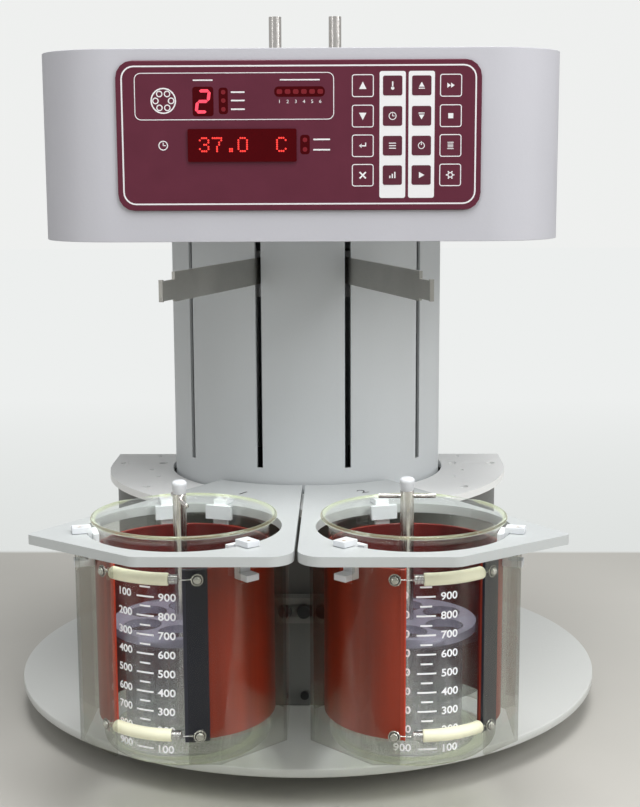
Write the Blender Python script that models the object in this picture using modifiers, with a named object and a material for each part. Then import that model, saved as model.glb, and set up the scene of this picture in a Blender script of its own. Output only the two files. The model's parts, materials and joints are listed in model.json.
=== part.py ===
"""Two-station tablet disintegration tester, built as separate pieces.

A round base disc on four feet carries a lower housing and a column. The column holds up the
control head and has vertical slots, through which two lift arms reach out over two stations.
Each station is a clear beaker that hangs by its rim on clips in a station plate, with a heating
jacket round it, a see-through shield outside the jacket and a basket rack inside.

Units are metres, +Z is up, the front faces -Y. The origin lies under the middle of the object
on the bench. Angles of the machine are counted from its front, and angles of a station from the
ray that runs out from the column through the station. Both grow towards the machine's right.
"""

import math

import bmesh
import bpy
from mathutils import Vector

# Names of the two collections
PARTS = "tablet_disintegration_tester"
CUTTERS = "cutters"

# Clearances
GAP = 0.0003
OVERRUN = 0.002
MERGE = 0.00001

# Base disc and its feet
FOOT_RADIUS = 0.017
FOOT_HEIGHT = 0.018
FOOT_TAPER = 0.002
FOOT_REACH = 0.165
DISC_RADIUS = 0.219
DISC_THICKNESS = 0.006
DISC_CHAMFER = 0.0008

# Column
COLUMN_RADIUS = 0.100
COLUMN_WALL = 0.002
SLOT_WIDTH = 0.0045
SLOT_BOTTOM = 0.1935
SLOT_TOP_RING = 0.0025
SLOT_ANGLES = (-54.0, -18.0, 18.0, 54.0)

# Lower housing and its deck
HOUSING_HALF_WIDTH = 0.139
HOUSING_FRONT = 0.110
HOUSING_BACK = 0.036
HOUSING_CORNER = 0.055
HOUSING_WALL = 0.002
HOUSING_SCREW_RADIUS = 0.003
HOUSING_SCREW_HEAD = 0.003
HOUSING_SCREW_HEIGHT = 0.008
DECK_RADIUS = 0.1498
DECK_BACK = 0.038
DECK_THICKNESS = 0.005
DECK_COLUMN_CLEARANCE = 0.0025
DECK_BIG_HOLE = 0.0035
DECK_SMALL_HOLE = 0.0018
DECK_CHAMFER = 0.0008
BIG_HOLE_PLACES = ((0.1405, 0.003), (0.111, 0.003), (0.1134, -0.079))
SMALL_HOLE_PLACES = ((0.117, 0.029), (0.1167, -0.021), (0.109, -0.0446))

# Station plates
PLATE_TOP = 0.1829
PLATE_THICKNESS = 0.006
PLATE_APOTHEM = 0.289
PLATE_OUTER_ANGLE = 34.7
PLATE_SIDE_GAP = 0.001
PLATE_COLUMN_GAP = 0.0032
PLATE_FRONT_CORNER = 0.015
PLATE_BLUNT_CORNER = 0.012
PLATE_SHARP_CORNER = 0.003
PLATE_CHAMFER = 0.0007
STATION_ANGLE = 18.0
STATION_REACH = 0.229
HOLE_RADIUS = 0.0603

# Beaker
RIM_TOP = 0.191
BEAKER_HEIGHT = 0.1444
BEAKER_RADIUS = 0.0525
BEAKER_RIM_RADIUS = 0.0575
BEAKER_WALL = 0.0022
BEAKER_FLOOR = 0.0028
BEAKER_FOOT_ROUND = 0.008
BEAKER_FLARE_HEIGHT = 0.0078
BEAKER_LIP = 0.0012
SPOUT_REACH = 0.0042
SPOUT_DROP = 0.002
SPOUT_HALF_ANGLE = 17.0
SPOUT_ANGLES = {"left": -125.0, "right": 125.0}

# Clips that hold the beaker in the plate
CLIP_WIDTH = 0.0093
CLIP_BAR_RADIUS = 0.0531
CLIP_BAR_WIDTH = 0.0176
CLIP_BAR_HEIGHT = 0.009
CLIP_BODY_THICKNESS = 0.0037
CLIP_PAD_LENGTH = 0.0092
CLIP_PAD_THICKNESS = 0.0035
CLIP_FOOT_DROP = 0.0104
CLIP_FOOT_THICKNESS = 0.004
CLIP_FOOT_LENGTH = 0.0084
CLIP_HOLE_RADIUS = 0.0016
CLIP_HOLE_DEPTH = 0.0025
CLIP_EDGE = 0.0006
CLIP_ANGLES = {
    "left": {"front_outer": 57.5, "front_inner": -60.0, "rear_inner": 180.0, "rear_outer": 145.0},
    "right": {"front_outer": 57.5, "front_inner": -60.0, "rear_inner": 180.0},
}

# Heating jacket, its clamp strip and bolts
JACKET_THICKNESS = 0.0025
JACKET_BOTTOM = 0.066
JACKET_HEIGHT = 0.105
JACKET_EDGES = {"left": (-28.5, 22.5), "right": (-25.5, 26.8)}
STRIP_WIDTH_ANGLE = 15.0
STRIP_THICKNESS = 0.0018
STRIP_OVERHANG = 0.0006
BOLT_ANGLE = 31.0
BOLT_RADIUS = 0.0016
BOLT_HEAD_RADIUS = 0.0033
BOLT_HEAD_THICKNESS = 0.0016
BOLT_NECK = 0.0021
BOLT_INSET = 0.0055

# Closing springs and the sleeves over them
SLEEVE_RADIUS = 0.0038
SLEEVE_WALL = 0.0006
SLEEVE_LEFT_ANGLE = -24.6
SLEEVE_SWEEP = 39.1
SPRING_RADIUS = 0.0026
SPRING_WIRE = 0.0009
SPRING_PITCH = 0.00145
SPRING_CURLS = 4
SPRING_RISE_ANGLE = 1.5
POINTS_PER_CURL = 8
SPRING_MOUTH_CURLS = 1.0

# Shield round the jacket
SHIELD_APOTHEM = 0.0635
SHIELD_THICKNESS = 0.002
SHIELD_BOTTOM = 0.0545
SHIELD_FRONT_EDGES = {"left": (-24.6, 18.3), "right": (-27.0, 22.7)}
SHIELD_SIDES = 8
SHIELD_NOTCH_CLEARANCE = 0.0015
TAB_WIDTH = 0.014
TAB_LENGTH = 0.009
TAB_THICKNESS = 0.002
TAB_SCREW_RADIUS = 0.003
TAB_SCREW_HEAD = 0.002

# Basket rack
BASKET_OFFSETS = {"left": -0.0027, "right": -0.004}
BASKET_RADIUS = 0.0432
BASKET_PLATE = 0.005
BASKET_TUBE_LENGTH = 0.0734
BASKET_TUBE_RADIUS = 0.0115
BASKET_TUBE_WALL = 0.0011
BASKET_TUBE_CIRCLE = 0.0262
BASKET_TUBES = 6
SCREEN_THICKNESS = 0.0006
SCREEN_MARGIN = 0.003
ROD_RADIUS = 0.00425
ROD_CHAMFER = 0.0006
KNOB_TOPS = {"left": 0.2117, "right": 0.2136}
KNOB_HEIGHT = 0.008
KNOB_RADIUS = 0.0046
KNOB_NECK_RADIUS = 0.0041
KNOB_SOCKET = 0.004
KNOB_WALL = 0.0012
PIN_RADIUS = 0.0014
PIN_LENGTH = 0.035
PIN_DROPS = {"left": 0.0122, "right": 0.0115}
PIN_ANGLES = {"left": -69.0, "right": 0.0}

# Lift arms, carriages and what moves them
ARM_ANGLE = 18.6
ARM_BOTTOM = 0.3222
ARM_HEIGHT = 0.018
ARM_THICKNESS = 0.002
ARM_INNER = 0.006
ARM_SHOULDER = 0.2325
ARM_REACH = 0.2495
TONGUE_DROP = 0.0046
TONGUE_HEIGHT = 0.0118
NOTCH_WIDTH = 0.0016
LIP_THICKNESS = 0.0016
LIP_WIDTH = 0.0026
LIP_RISE = 0.0008
POST_RADIUS = 0.0046
POST_SPACING = 0.0438
POST_TOP = 0.5095
POST_BORE_CLEARANCE = 0.0003
CARRIAGE_LENGTH = 0.026
CARRIAGE_WIDTH = 0.046
CARRIAGE_HEIGHT = 0.034
CARRIAGE_INNER = -0.002
LIFT_ROD_RADIUS = 0.004
LIFT_ROD_LENGTH = 0.158
LIFT_ROD_STEP = 0.0185
ACTUATOR_RADIUS = 0.0085
ACTUATOR_HEIGHT = 0.165
ACTUATOR_FLOOR = 0.004
MOTOR_SIZE = 0.024
MOTOR_HEIGHT = 0.045

# Control head
HEAD_BOTTOM = 0.355
HEAD_HEIGHT = 0.1195
HEAD_HALF_WIDTH = 0.1685
HEAD_FRONT = 0.168
HEAD_BACK = 0.112
HEAD_CORNER = 0.050
HEAD_BACK_CORNER = 0.020
HEAD_WALL = 0.002
HEAD_CHAMFER = 0.0015
HEAD_COVER_THICKNESS = 0.002
HEAD_COVER_OPENING = 0.085
POST_HOLE_CLEARANCE = 0.0004
PANEL_WIDTH = 0.2275
PANEL_HEIGHT = 0.0925
PANEL_BOTTOM = 0.3747
PANEL_CORNER = 0.0105
PANEL_THICKNESS = 0.0012
WINDOW_WIDTH = 0.068
WINDOW_HEIGHT = 0.0203
WINDOW_LEFT = -0.0693
WINDOW_BOTTOM = 0.4050
WINDOW_THICKNESS = 0.0008
WINDOW_CORNER = 0.001
BOARD_WIDTH = 0.190
BOARD_HEIGHT = 0.075
BOARD_THICKNESS = 0.0016

# Sockets of the heaters and the mains inlet
SOCKET_WIDTH = 0.046
SOCKET_HEIGHT = 0.0182
SOCKET_DEPTH = 0.010
SOCKET_BOTTOM = 0.0885
SOCKET_HOLE_RADIUS = 0.0045
SOCKET_HOLE_DEPTH = 0.003
SOCKET_PITCH = 0.013
INLET_MARGIN = 0.005
INLET_HEIGHT = 0.024
INLET_DEPTH = 0.009
INLET_BOTTOM = 0.050
INLET_RECESS = 0.006
INLET_RIM = 0.003

# How finely round shapes are divided
BIG_ROUND = 80
COLUMN_ROUND = 64
BEAKER_ROUND = 44
HOLE_ROUND = 60
SMALL_ROUND = 20
TUBE_ROUND = 16
CORNER_STEPS = 8

# Places that follow from the sizes above
AXIS_Y = (PLATE_APOTHEM - DISC_RADIUS) / 2
DISC_BOTTOM = FOOT_HEIGHT + GAP
DISC_TOP = DISC_BOTTOM + DISC_THICKNESS
PLATE_BOTTOM = PLATE_TOP - PLATE_THICKNESS
DECK_TOP = PLATE_BOTTOM - GAP
DECK_BOTTOM = DECK_TOP - DECK_THICKNESS
COLUMN_BOTTOM = DISC_TOP + GAP
COLUMN_TOP = HEAD_BOTTOM - GAP
BEAKER_BOTTOM = RIM_TOP - BEAKER_HEIGHT
BASKET_BOTTOM = BEAKER_BOTTOM + BEAKER_FLOOR + GAP
RACK_BOTTOM = BASKET_BOTTOM + SCREEN_THICKNESS + GAP
RACK_TOP = RACK_BOTTOM + BASKET_TUBE_LENGTH
JACKET_INNER = BEAKER_RADIUS + GAP
JACKET_OUTER = JACKET_INNER + JACKET_THICKNESS
JACKET_TOP = JACKET_BOTTOM + JACKET_HEIGHT
STRIP_INNER = JACKET_OUTER + GAP
STRIP_OUTER = STRIP_INNER + STRIP_THICKNESS
SLEEVE_ARC = BEAKER_RADIUS + GAP + SLEEVE_RADIUS
SHIELD_TOP = PLATE_BOTTOM - GAP
SPRING_HEIGHTS = {
    "upper": JACKET_TOP - BOLT_INSET,
    "lower": JACKET_BOTTOM + BOLT_INSET - BOLT_HEAD_THICKNESS,
}
SIDES = {"left": -1, "right": 1}

COLOURS = {
    "paint": ((0.50, 0.505, 0.515), 0.42, 0.0),
    "pale_plate": ((0.62, 0.635, 0.66), 0.40, 0.0),
    "deck_grey": ((0.47, 0.48, 0.47), 0.45, 0.0),
    "rubber": ((0.03, 0.03, 0.03), 0.80, 0.0),
    "panel": ((0.13, 0.03, 0.05), 0.35, 0.0),
    "window": ((0.05, 0.01, 0.015), 0.15, 0.0),
    "steel": ((0.55, 0.53, 0.50), 0.28, 1.0),
    "glass": ((0.85, 0.92, 0.88), 0.03, 0.0),
    "silicone": ((0.30, 0.045, 0.02), 0.45, 0.0),
    "strip": ((0.012, 0.014, 0.03), 0.55, 0.0),
    "sleeve": ((0.80, 0.77, 0.58), 0.45, 0.0),
    "nylon": ((0.83, 0.84, 0.86), 0.40, 0.0),
    "smoke": ((0.30, 0.30, 0.28), 0.10, 0.0),
    "acrylic": ((0.55, 0.52, 0.68), 0.10, 0.0),
    "dark": ((0.02, 0.02, 0.02), 0.50, 0.0),
    "board": ((0.02, 0.12, 0.05), 0.50, 0.0),
    "aluminium": ((0.60, 0.60, 0.61), 0.40, 1.0),
}


def clear_scene():
    """Removes every object, so the script also runs in a scene with things in it."""
    for obj in list(bpy.data.objects):
        bpy.data.objects.remove(obj, do_unlink=True)


def collection(name):
    """Returns the collection of that name, made and linked on first use."""
    found = bpy.data.collections.get(name)
    if found is None:
        found = bpy.data.collections.new(name)
        bpy.context.scene.collection.children.link(found)
    return found


def material(name):
    """Returns the plain material of that name from COLOURS."""
    found = bpy.data.materials.get(name)
    if found is None:
        colour, roughness, metallic = COLOURS[name]
        found = bpy.data.materials.new(name)
        found.use_nodes = True
        shader = found.node_tree.nodes["Principled BSDF"]
        shader.inputs["Base Color"].default_value = (*colour, 1.0)
        shader.inputs["Roughness"].default_value = roughness
        shader.inputs["Metallic"].default_value = metallic
    return found


def new_object(name, data, place=(0.0, 0.0, 0.0), turn=(0.0, 0.0, 0.0)):
    """Links an object into the collection of the cutters, until keep() makes it a part."""
    obj = bpy.data.objects.new(name, data)
    obj.location = place
    obj.rotation_euler = turn
    obj.hide_render = True
    obj.display_type = "WIRE"
    collection(CUTTERS).objects.link(obj)
    return obj


def keep(obj, name, finish, smooth_angle=35.0):
    """Turns a shape into a named part with its own finish."""
    obj.name = name
    obj.data.name = name
    obj.hide_render = False
    obj.display_type = "TEXTURED"
    collection(CUTTERS).objects.unlink(obj)
    collection(PARTS).objects.link(obj)
    obj.data.materials.clear()
    obj.data.materials.append(material(finish))
    if obj.type == "MESH":
        obj.data.shade_smooth()
        obj.data.set_sharp_from_angle(angle=math.radians(smooth_angle))
    return obj


def as_mesh(obj):
    """Replaces a curve, or a mesh with modifiers, by its evaluated and welded mesh."""
    bpy.context.view_layer.update()
    depsgraph = bpy.context.evaluated_depsgraph_get()
    mesh = bpy.data.meshes.new_from_object(obj.evaluated_get(depsgraph))
    shape = bmesh.new()
    shape.from_mesh(mesh)
    bmesh.ops.remove_doubles(shape, verts=shape.verts, dist=MERGE)
    bmesh.ops.recalc_face_normals(shape, faces=shape.faces)
    shape.to_mesh(mesh)
    shape.free()
    made = new_object(obj.name, mesh)
    made.matrix_world = obj.matrix_world.copy()
    bpy.data.objects.remove(obj, do_unlink=True)
    return made


def combine(obj, others, operation):
    """Joins or cuts a mesh with other meshes, which are used up."""
    for other in others:
        change = obj.modifiers.new(operation.lower(), "BOOLEAN")
        change.object = other
        change.operation = operation
        change.solver = "EXACT"
        obj = as_mesh(obj)
        bpy.data.objects.remove(other, do_unlink=True)
    return obj


def cut(obj, *cutters):
    """Cuts the cutters out of a mesh."""
    return combine(obj, cutters, "DIFFERENCE")


def join(obj, *pieces):
    """Makes one body of a mesh and the pieces that are part of it."""
    return combine(obj, pieces, "UNION")


def bevel(obj, width, segments=1, angle=50.0):
    """Breaks the sharp edges of a mesh."""
    change = obj.modifiers.new("bevel", "BEVEL")
    change.width = width
    change.segments = segments
    change.limit_method = "ANGLE"
    change.angle_limit = math.radians(angle)
    return as_mesh(obj)


def box(low, high):
    """A box between two corners."""
    shape = bmesh.new()
    bmesh.ops.create_cube(shape, size=1.0)
    size = Vector(high) - Vector(low)
    bmesh.ops.scale(shape, vec=size, verts=shape.verts)
    bmesh.ops.translate(shape, vec=(Vector(high) + Vector(low)) / 2, verts=shape.verts)
    mesh = bpy.data.meshes.new("box")
    shape.to_mesh(mesh)
    shape.free()
    return new_object("box", mesh)


def cylinder(radius, bottom, top, centre=(0.0, 0.0), segments=SMALL_ROUND, top_radius=None):
    """An upright cylinder, or a cone where the top radius differs."""
    shape = bmesh.new()
    bmesh.ops.create_cone(
        shape,
        cap_ends=True,
        segments=segments,
        radius1=radius,
        radius2=radius if top_radius is None else top_radius,
        depth=top - bottom,
    )
    middle = (centre[0], centre[1], (top + bottom) / 2)
    bmesh.ops.translate(shape, vec=middle, verts=shape.verts)
    mesh = bpy.data.meshes.new("cylinder")
    shape.to_mesh(mesh)
    shape.free()
    return new_object("cylinder", mesh)


def rod(radius, start, end, segments=SMALL_ROUND):
    """A straight round bar between two points."""
    along = Vector(end) - Vector(start)
    made = cylinder(radius, 0.0, along.length, segments=segments)
    made.location = start
    made.rotation_euler = along.to_track_quat("Z", "Y").to_euler()
    return made


def slab(outlines, bottom, top):
    """A flat piece: the first outline is its edge, the others are holes in it."""
    curve = bpy.data.curves.new("slab", "CURVE")
    curve.dimensions = "2D"
    curve.fill_mode = "BOTH"
    curve.extrude = (top - bottom) / 2
    for points in outlines:
        spline = curve.splines.new("POLY")
        spline.points.add(len(points) - 1)
        for point, (x, y) in zip(spline.points, points):
            point.co = (x, y, 0.0, 1.0)
        spline.use_cyclic_u = True
    return as_mesh(new_object("slab", curve, place=(0.0, 0.0, (top + bottom) / 2)))


def turned(profile, centre, steps):
    """A shape turned about an upright axis from (radius, height) points, outside first."""
    shape = bmesh.new()
    corners = [shape.verts.new((radius, 0.0, height)) for radius, height in profile]
    for first, second in zip(corners, corners[1:]):
        shape.edges.new((first, second))
    mesh = bpy.data.meshes.new("turned")
    shape.to_mesh(mesh)
    shape.free()
    made = new_object("turned", mesh, place=(*centre, 0.0))
    change = made.modifiers.new("turn", "SCREW")
    change.steps = steps
    change.render_steps = steps
    change.use_merge_vertices = True
    change.merge_threshold = MERGE
    return as_mesh(made)


def wire(points, radius, resolution, caps=True):
    """A tube along a list of points."""
    curve = bpy.data.curves.new("wire", "CURVE")
    curve.dimensions = "3D"
    curve.bevel_depth = radius
    curve.bevel_resolution = resolution
    curve.use_fill_caps = caps
    spline = curve.splines.new("POLY")
    spline.points.add(len(points) - 1)
    for point, place in zip(spline.points, points):
        point.co = (*place, 1.0)
    return new_object("wire", curve)


def arc(centre, radius, start, end, steps):
    """Points of an arc, with angles in degrees counted from -Y towards +X."""
    points = []
    for step in range(steps + 1):
        angle = math.radians(start + (end - start) * step / steps)
        points.append((centre[0] + radius * math.sin(angle), centre[1] - radius * math.cos(angle)))
    return points


def ring(centre, radius, steps):
    """Points of a full circle."""
    return arc(centre, radius, 0.0, 360.0, steps)[:-1]


def rounded(corners, radii, steps=CORNER_STEPS):
    """An outline whose corners are rounded, each with its own radius."""
    points = []
    count = len(corners)
    for index, (corner, radius) in enumerate(zip(corners, radii)):
        if not radius:
            points.append(tuple(corner))
            continue
        here = Vector(corner)
        before = (Vector(corners[index - 1]) - here).normalized()
        after = (Vector(corners[(index + 1) % count]) - here).normalized()
        half = before.angle(after) / 2
        centre = here + (before + after).normalized() * radius / math.sin(half)
        first = here + before * radius / math.tan(half) - centre
        last = here + after * radius / math.tan(half) - centre
        turn = first.angle_signed(last)
        for step in range(steps + 1):
            share = step / steps
            angle = -turn * share
            x = first.x * math.cos(angle) - first.y * math.sin(angle)
            y = first.x * math.sin(angle) + first.y * math.cos(angle)
            points.append((centre.x + x, centre.y + y))
    return points


def ribbon(path, thickness):
    """The outline of a sheet whose outer face follows a path, with its wall on the path's left."""
    inner = []
    count = len(path)
    for index in range(count):
        here = Vector(path[index])
        before = Vector(path[max(index - 1, 0)])
        after = Vector(path[min(index + 1, count - 1)])
        into = (here - before).normalized() if index > 0 else (after - here).normalized()
        out = (after - here).normalized() if index < count - 1 else into
        normal = Vector((-into.y - out.y, into.x + out.x)).normalized()
        reach = thickness / max(normal.dot(Vector((-into.y, into.x))), MERGE)
        inner.append(tuple(here + normal * reach))
    return list(path) + inner[::-1]


def machine_point(radius, angle, side=1):
    """A point at a radius and angle from the column's axis, mirrored for the left side."""
    turn = math.radians(angle)
    return (side * radius * math.sin(turn), AXIS_Y - radius * math.cos(turn))


def station_centre(side):
    """The centre of a station in plan."""
    return machine_point(STATION_REACH, STATION_ANGLE, side)


def station_heading(side, angle):
    """The machine angle of a direction that a station counts from its own outward ray."""
    return side * STATION_ANGLE + angle


def station_point(side, radius, angle):
    """A point at a radius and angle from a station's centre."""
    return arc(station_centre(side), radius, station_heading(side, angle), 0.0, 1)[0]


def station_place(side, angle):
    """Location and turn that put a shape drawn along local -Y at an angle of a station."""
    turn = math.radians(station_heading(side, angle))
    return (*station_centre(side), 0.0), (0.0, 0.0, turn)


def mirrored(side, angle):
    """An angle that is given for the right-hand station, for either station."""
    return side * angle


def make_feet():
    """Four tapered rubber feet under the base disc."""
    places = {"front_left": -35.0, "front_right": 35.0, "rear_left": -145.0, "rear_right": 145.0}
    for name, angle in places.items():
        foot = cylinder(
            FOOT_RADIUS - FOOT_TAPER,
            0.0,
            FOOT_HEIGHT,
            machine_point(FOOT_REACH, angle),
            top_radius=FOOT_RADIUS,
        )
        keep(foot, f"foot_{name}", "rubber")


def make_base_disc():
    """The round plate that everything stands on."""
    disc = cylinder(DISC_RADIUS, DISC_BOTTOM, DISC_TOP, (0.0, AXIS_Y), BIG_ROUND)
    keep(bevel(disc, DISC_CHAMFER), "base_disc", "pale_plate")


def make_lower_housing():
    """A folded sheet that wraps the foot of the column, with a screw in its front."""
    left = (-HOUSING_HALF_WIDTH, AXIS_Y + HOUSING_BACK)
    front_left = (-HOUSING_HALF_WIDTH, AXIS_Y - HOUSING_FRONT)
    front_right = (HOUSING_HALF_WIDTH, AXIS_Y - HOUSING_FRONT)
    right = (HOUSING_HALF_WIDTH, AXIS_Y + HOUSING_BACK)
    half = math.sqrt((COLUMN_RADIUS + DECK_COLUMN_CLEARANCE) ** 2 - (HOUSING_BACK - HOUSING_WALL) ** 2)
    corners = [left, front_left, front_right, right]
    radii = [HOUSING_WALL * 2, HOUSING_CORNER, HOUSING_CORNER, HOUSING_WALL * 2]
    path = rounded(corners, radii)
    path = [(-half, AXIS_Y + HOUSING_BACK)] + path + [(half, AXIS_Y + HOUSING_BACK)]
    bottom = DISC_TOP + GAP
    housing = slab([ribbon(path, HOUSING_WALL)], bottom, DECK_BOTTOM - GAP)
    face = AXIS_Y - HOUSING_FRONT
    height = bottom + HOUSING_SCREW_HEIGHT
    screw = rod(
        HOUSING_SCREW_RADIUS,
        (0.0, face + HOUSING_WALL / 2, height),
        (0.0, face - HOUSING_SCREW_HEAD, height),
        12,
    )
    keep(join(housing, screw), "lower_housing", "deck_grey")


def make_deck():
    """The plate on the lower housing, round in front, that the station plates rest on."""
    back = AXIS_Y + DECK_BACK
    edge = [(DECK_RADIUS, back)]
    edge += arc((0.0, AXIS_Y), DECK_RADIUS, 90.0, -90.0, COLUMN_ROUND // 2)
    edge += [(-DECK_RADIUS, back)]
    opening = COLUMN_RADIUS + DECK_COLUMN_CLEARANCE
    notch_angle = math.degrees(math.acos(-DECK_BACK / opening))
    edge += arc((0.0, AXIS_Y), opening, -notch_angle, notch_angle, COLUMN_ROUND // 2 + SMALL_ROUND)
    holes = []
    for side in SIDES.values():
        for places, radius in ((BIG_HOLE_PLACES, DECK_BIG_HOLE), (SMALL_HOLE_PLACES, DECK_SMALL_HOLE)):
            for x, y in places:
                holes.append(ring((side * x, AXIS_Y + y), radius, CORNER_STEPS))
    deck = slab([edge] + holes, DECK_BOTTOM, DECK_TOP)
    keep(deck, "housing_deck", "deck_grey")


def make_station_plate(name, side):
    """One kite-shaped plate with the round hole that its beaker hangs in."""
    inner_radius = COLUMN_RADIUS + PLATE_COLUMN_GAP
    front_y = AXIS_Y - PLATE_APOTHEM
    vertex = machine_point(PLATE_APOTHEM / math.cos(math.radians(STATION_ANGLE)), STATION_ANGLE)
    slant = math.radians(2 * STATION_ANGLE - PLATE_OUTER_ANGLE)
    outer = machine_point(PLATE_APOTHEM / math.cos(slant), PLATE_OUTER_ANGLE)
    start_angle = math.degrees(math.asin(PLATE_SIDE_GAP / inner_radius))
    back = arc((0.0, AXIS_Y), inner_radius, PLATE_OUTER_ANGLE, start_angle, CORNER_STEPS * 2)
    corners = [(PLATE_SIDE_GAP, front_y), vertex, outer, back[0], back[-1]]
    radii = [PLATE_FRONT_CORNER, PLATE_BLUNT_CORNER, PLATE_SHARP_CORNER, 0.0, 0.0]
    per_corner = CORNER_STEPS + 1
    edge = rounded(corners, radii)[: 3 * per_corner] + back
    hole = ring(station_centre(1), HOLE_RADIUS, HOLE_ROUND)
    edge = [(side * x, y) for x, y in edge]
    hole = [(side * x, y) for x, y in hole]
    plate = slab([edge, hole], PLATE_BOTTOM, PLATE_TOP)
    keep(bevel(plate, PLATE_CHAMFER), f"station_plate_{name}", "pale_plate")


def make_column():
    """The round column, a tube with one upright slot for each place of an arm."""
    centre = (0.0, AXIS_Y)
    outer = ring(centre, COLUMN_RADIUS, COLUMN_ROUND)
    inner = ring(centre, COLUMN_RADIUS - COLUMN_WALL, COLUMN_ROUND)
    column = slab([outer, inner], COLUMN_BOTTOM, COLUMN_TOP)
    half = SLOT_WIDTH / 2
    top = COLUMN_TOP - SLOT_TOP_RING
    corners = [(-half, SLOT_BOTTOM), (half, SLOT_BOTTOM), (half, top), (-half, top)]
    for angle in SLOT_ANGLES:
        depth = COLUMN_WALL + 2 * OVERRUN
        slot = slab([rounded(corners, [half, half, 0.0, 0.0], CORNER_STEPS // 2)], 0.0, depth)
        slot.location = (*machine_point(COLUMN_RADIUS - COLUMN_WALL / 2, angle), 0.0)
        slot.rotation_euler = (math.radians(90.0), 0.0, math.radians(angle))
        column = cut(column, slot)
    keep(column, "column_shell", "paint")


def make_head():
    """The hollow control head, its bottom cover, front panel, window and circuit board."""
    front = AXIS_Y - HEAD_FRONT
    back = AXIS_Y + HEAD_BACK
    top = HEAD_BOTTOM + HEAD_HEIGHT
    radii = [HEAD_CORNER, HEAD_CORNER, HEAD_BACK_CORNER, HEAD_BACK_CORNER]

    def rectangle(inset):
        """The head's plan, drawn in by an inset."""
        corners = [
            (-HEAD_HALF_WIDTH + inset, front + inset),
            (HEAD_HALF_WIDTH - inset, front + inset),
            (HEAD_HALF_WIDTH - inset, back - inset),
            (-HEAD_HALF_WIDTH + inset, back - inset),
        ]
        return rounded(corners, [radius - inset for radius in radii])

    posts = [(side * POST_SPACING / 2, AXIS_Y) for side in SIDES.values()]
    head = bevel(slab([rectangle(0.0)], HEAD_BOTTOM, top), HEAD_CHAMFER, 2)
    hollow = slab([rectangle(HEAD_WALL)], HEAD_BOTTOM - OVERRUN, top - HEAD_WALL)
    hole_radius = POST_RADIUS + POST_HOLE_CLEARANCE
    holes = [cylinder(hole_radius, top - 2 * HEAD_WALL, top + OVERRUN, post) for post in posts]
    keep(cut(head, hollow, *holes), "head_shell", "paint")

    cover = slab(
        [rectangle(HEAD_WALL + GAP), ring((0.0, AXIS_Y), HEAD_COVER_OPENING, COLUMN_ROUND // 2)],
        HEAD_BOTTOM,
        HEAD_BOTTOM + HEAD_COVER_THICKNESS,
    )
    keep(cover, "head_bottom_cover", "paint")

    def upright(corner, width, height, radius, face, thickness, name, finish):
        """A thin plate with round corners that stands against a face looking to the front."""
        corners = [(0.0, 0.0), (width, 0.0), (width, height), (0.0, height)]
        plate = slab([rounded(corners, [radius] * 4, CORNER_STEPS // 2)], 0.0, thickness)
        plate.location = (corner[0], face, corner[1])
        plate.rotation_euler = (math.radians(90.0), 0.0, 0.0)
        mesh = as_mesh(plate)
        return keep(mesh, name, finish)

    panel_face = front - GAP
    upright((-PANEL_WIDTH / 2, PANEL_BOTTOM), PANEL_WIDTH, PANEL_HEIGHT, PANEL_CORNER,
            panel_face - PANEL_THICKNESS / 2, PANEL_THICKNESS, "keypad_panel", "panel")
    window_face = panel_face - PANEL_THICKNESS - GAP
    upright((WINDOW_LEFT, WINDOW_BOTTOM), WINDOW_WIDTH, WINDOW_HEIGHT, WINDOW_CORNER,
            window_face - WINDOW_THICKNESS / 2, WINDOW_THICKNESS, "display_window", "window")
    board_back = front + HEAD_WALL + GAP
    middle = PANEL_BOTTOM + PANEL_HEIGHT / 2
    board = box(
        (-BOARD_WIDTH / 2, board_back, middle - BOARD_HEIGHT / 2),
        (BOARD_WIDTH / 2, board_back + BOARD_THICKNESS, middle + BOARD_HEIGHT / 2),
    )
    keep(board, "control_board", "board")


def make_sockets():
    """The heater sockets on the front of the lower housing and the mains inlet behind."""
    face = AXIS_Y - HOUSING_FRONT - GAP
    top = SOCKET_BOTTOM + SOCKET_HEIGHT
    block = box((-SOCKET_WIDTH / 2, face - SOCKET_DEPTH, SOCKET_BOTTOM), (SOCKET_WIDTH / 2, face, top))
    height = SOCKET_BOTTOM + SOCKET_HEIGHT / 2
    for index in (-1, 0, 1):
        x = index * SOCKET_PITCH
        mouth = face - SOCKET_DEPTH
        hole = rod(SOCKET_HOLE_RADIUS, (x, mouth - OVERRUN, height), (x, mouth + SOCKET_HOLE_DEPTH, height))
        block = cut(block, hole)
    keep(block, "heater_socket_block", "nylon")

    back = AXIS_Y + HOUSING_BACK + GAP
    half = math.sqrt((COLUMN_RADIUS + DECK_COLUMN_CLEARANCE) ** 2 - HOUSING_BACK ** 2)
    low = (half + INLET_MARGIN, back, INLET_BOTTOM)
    high = (HOUSING_HALF_WIDTH - INLET_MARGIN, back + INLET_DEPTH, INLET_BOTTOM + INLET_HEIGHT)
    inlet = box(low, high)
    recess = box(
        (low[0] + INLET_RIM, high[1] - INLET_RECESS, low[2] + INLET_RIM),
        (high[0] - INLET_RIM, high[1] + OVERRUN, high[2] - INLET_RIM),
    )
    keep(cut(inlet, recess), "power_inlet", "dark")


def post_place():
    """A guide post's place, as distances along and beside the line of its arm."""
    turn = math.radians(ARM_ANGLE)
    return (POST_SPACING / 2 * math.sin(turn), POST_SPACING / 2 * math.cos(turn))


def ray_box(side, along, beside, heights):
    """A box laid along a station's ray: distances from the column's axis, and beside the ray."""
    low = (min(side * beside[0], side * beside[1]), -along[1], heights[0])
    high = (max(side * beside[0], side * beside[1]), -along[0], heights[1])
    made = box(low, high)
    made.location = (0.0, AXIS_Y, 0.0)
    made.rotation_euler = (0.0, 0.0, math.radians(side * ARM_ANGLE))
    return made


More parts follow.
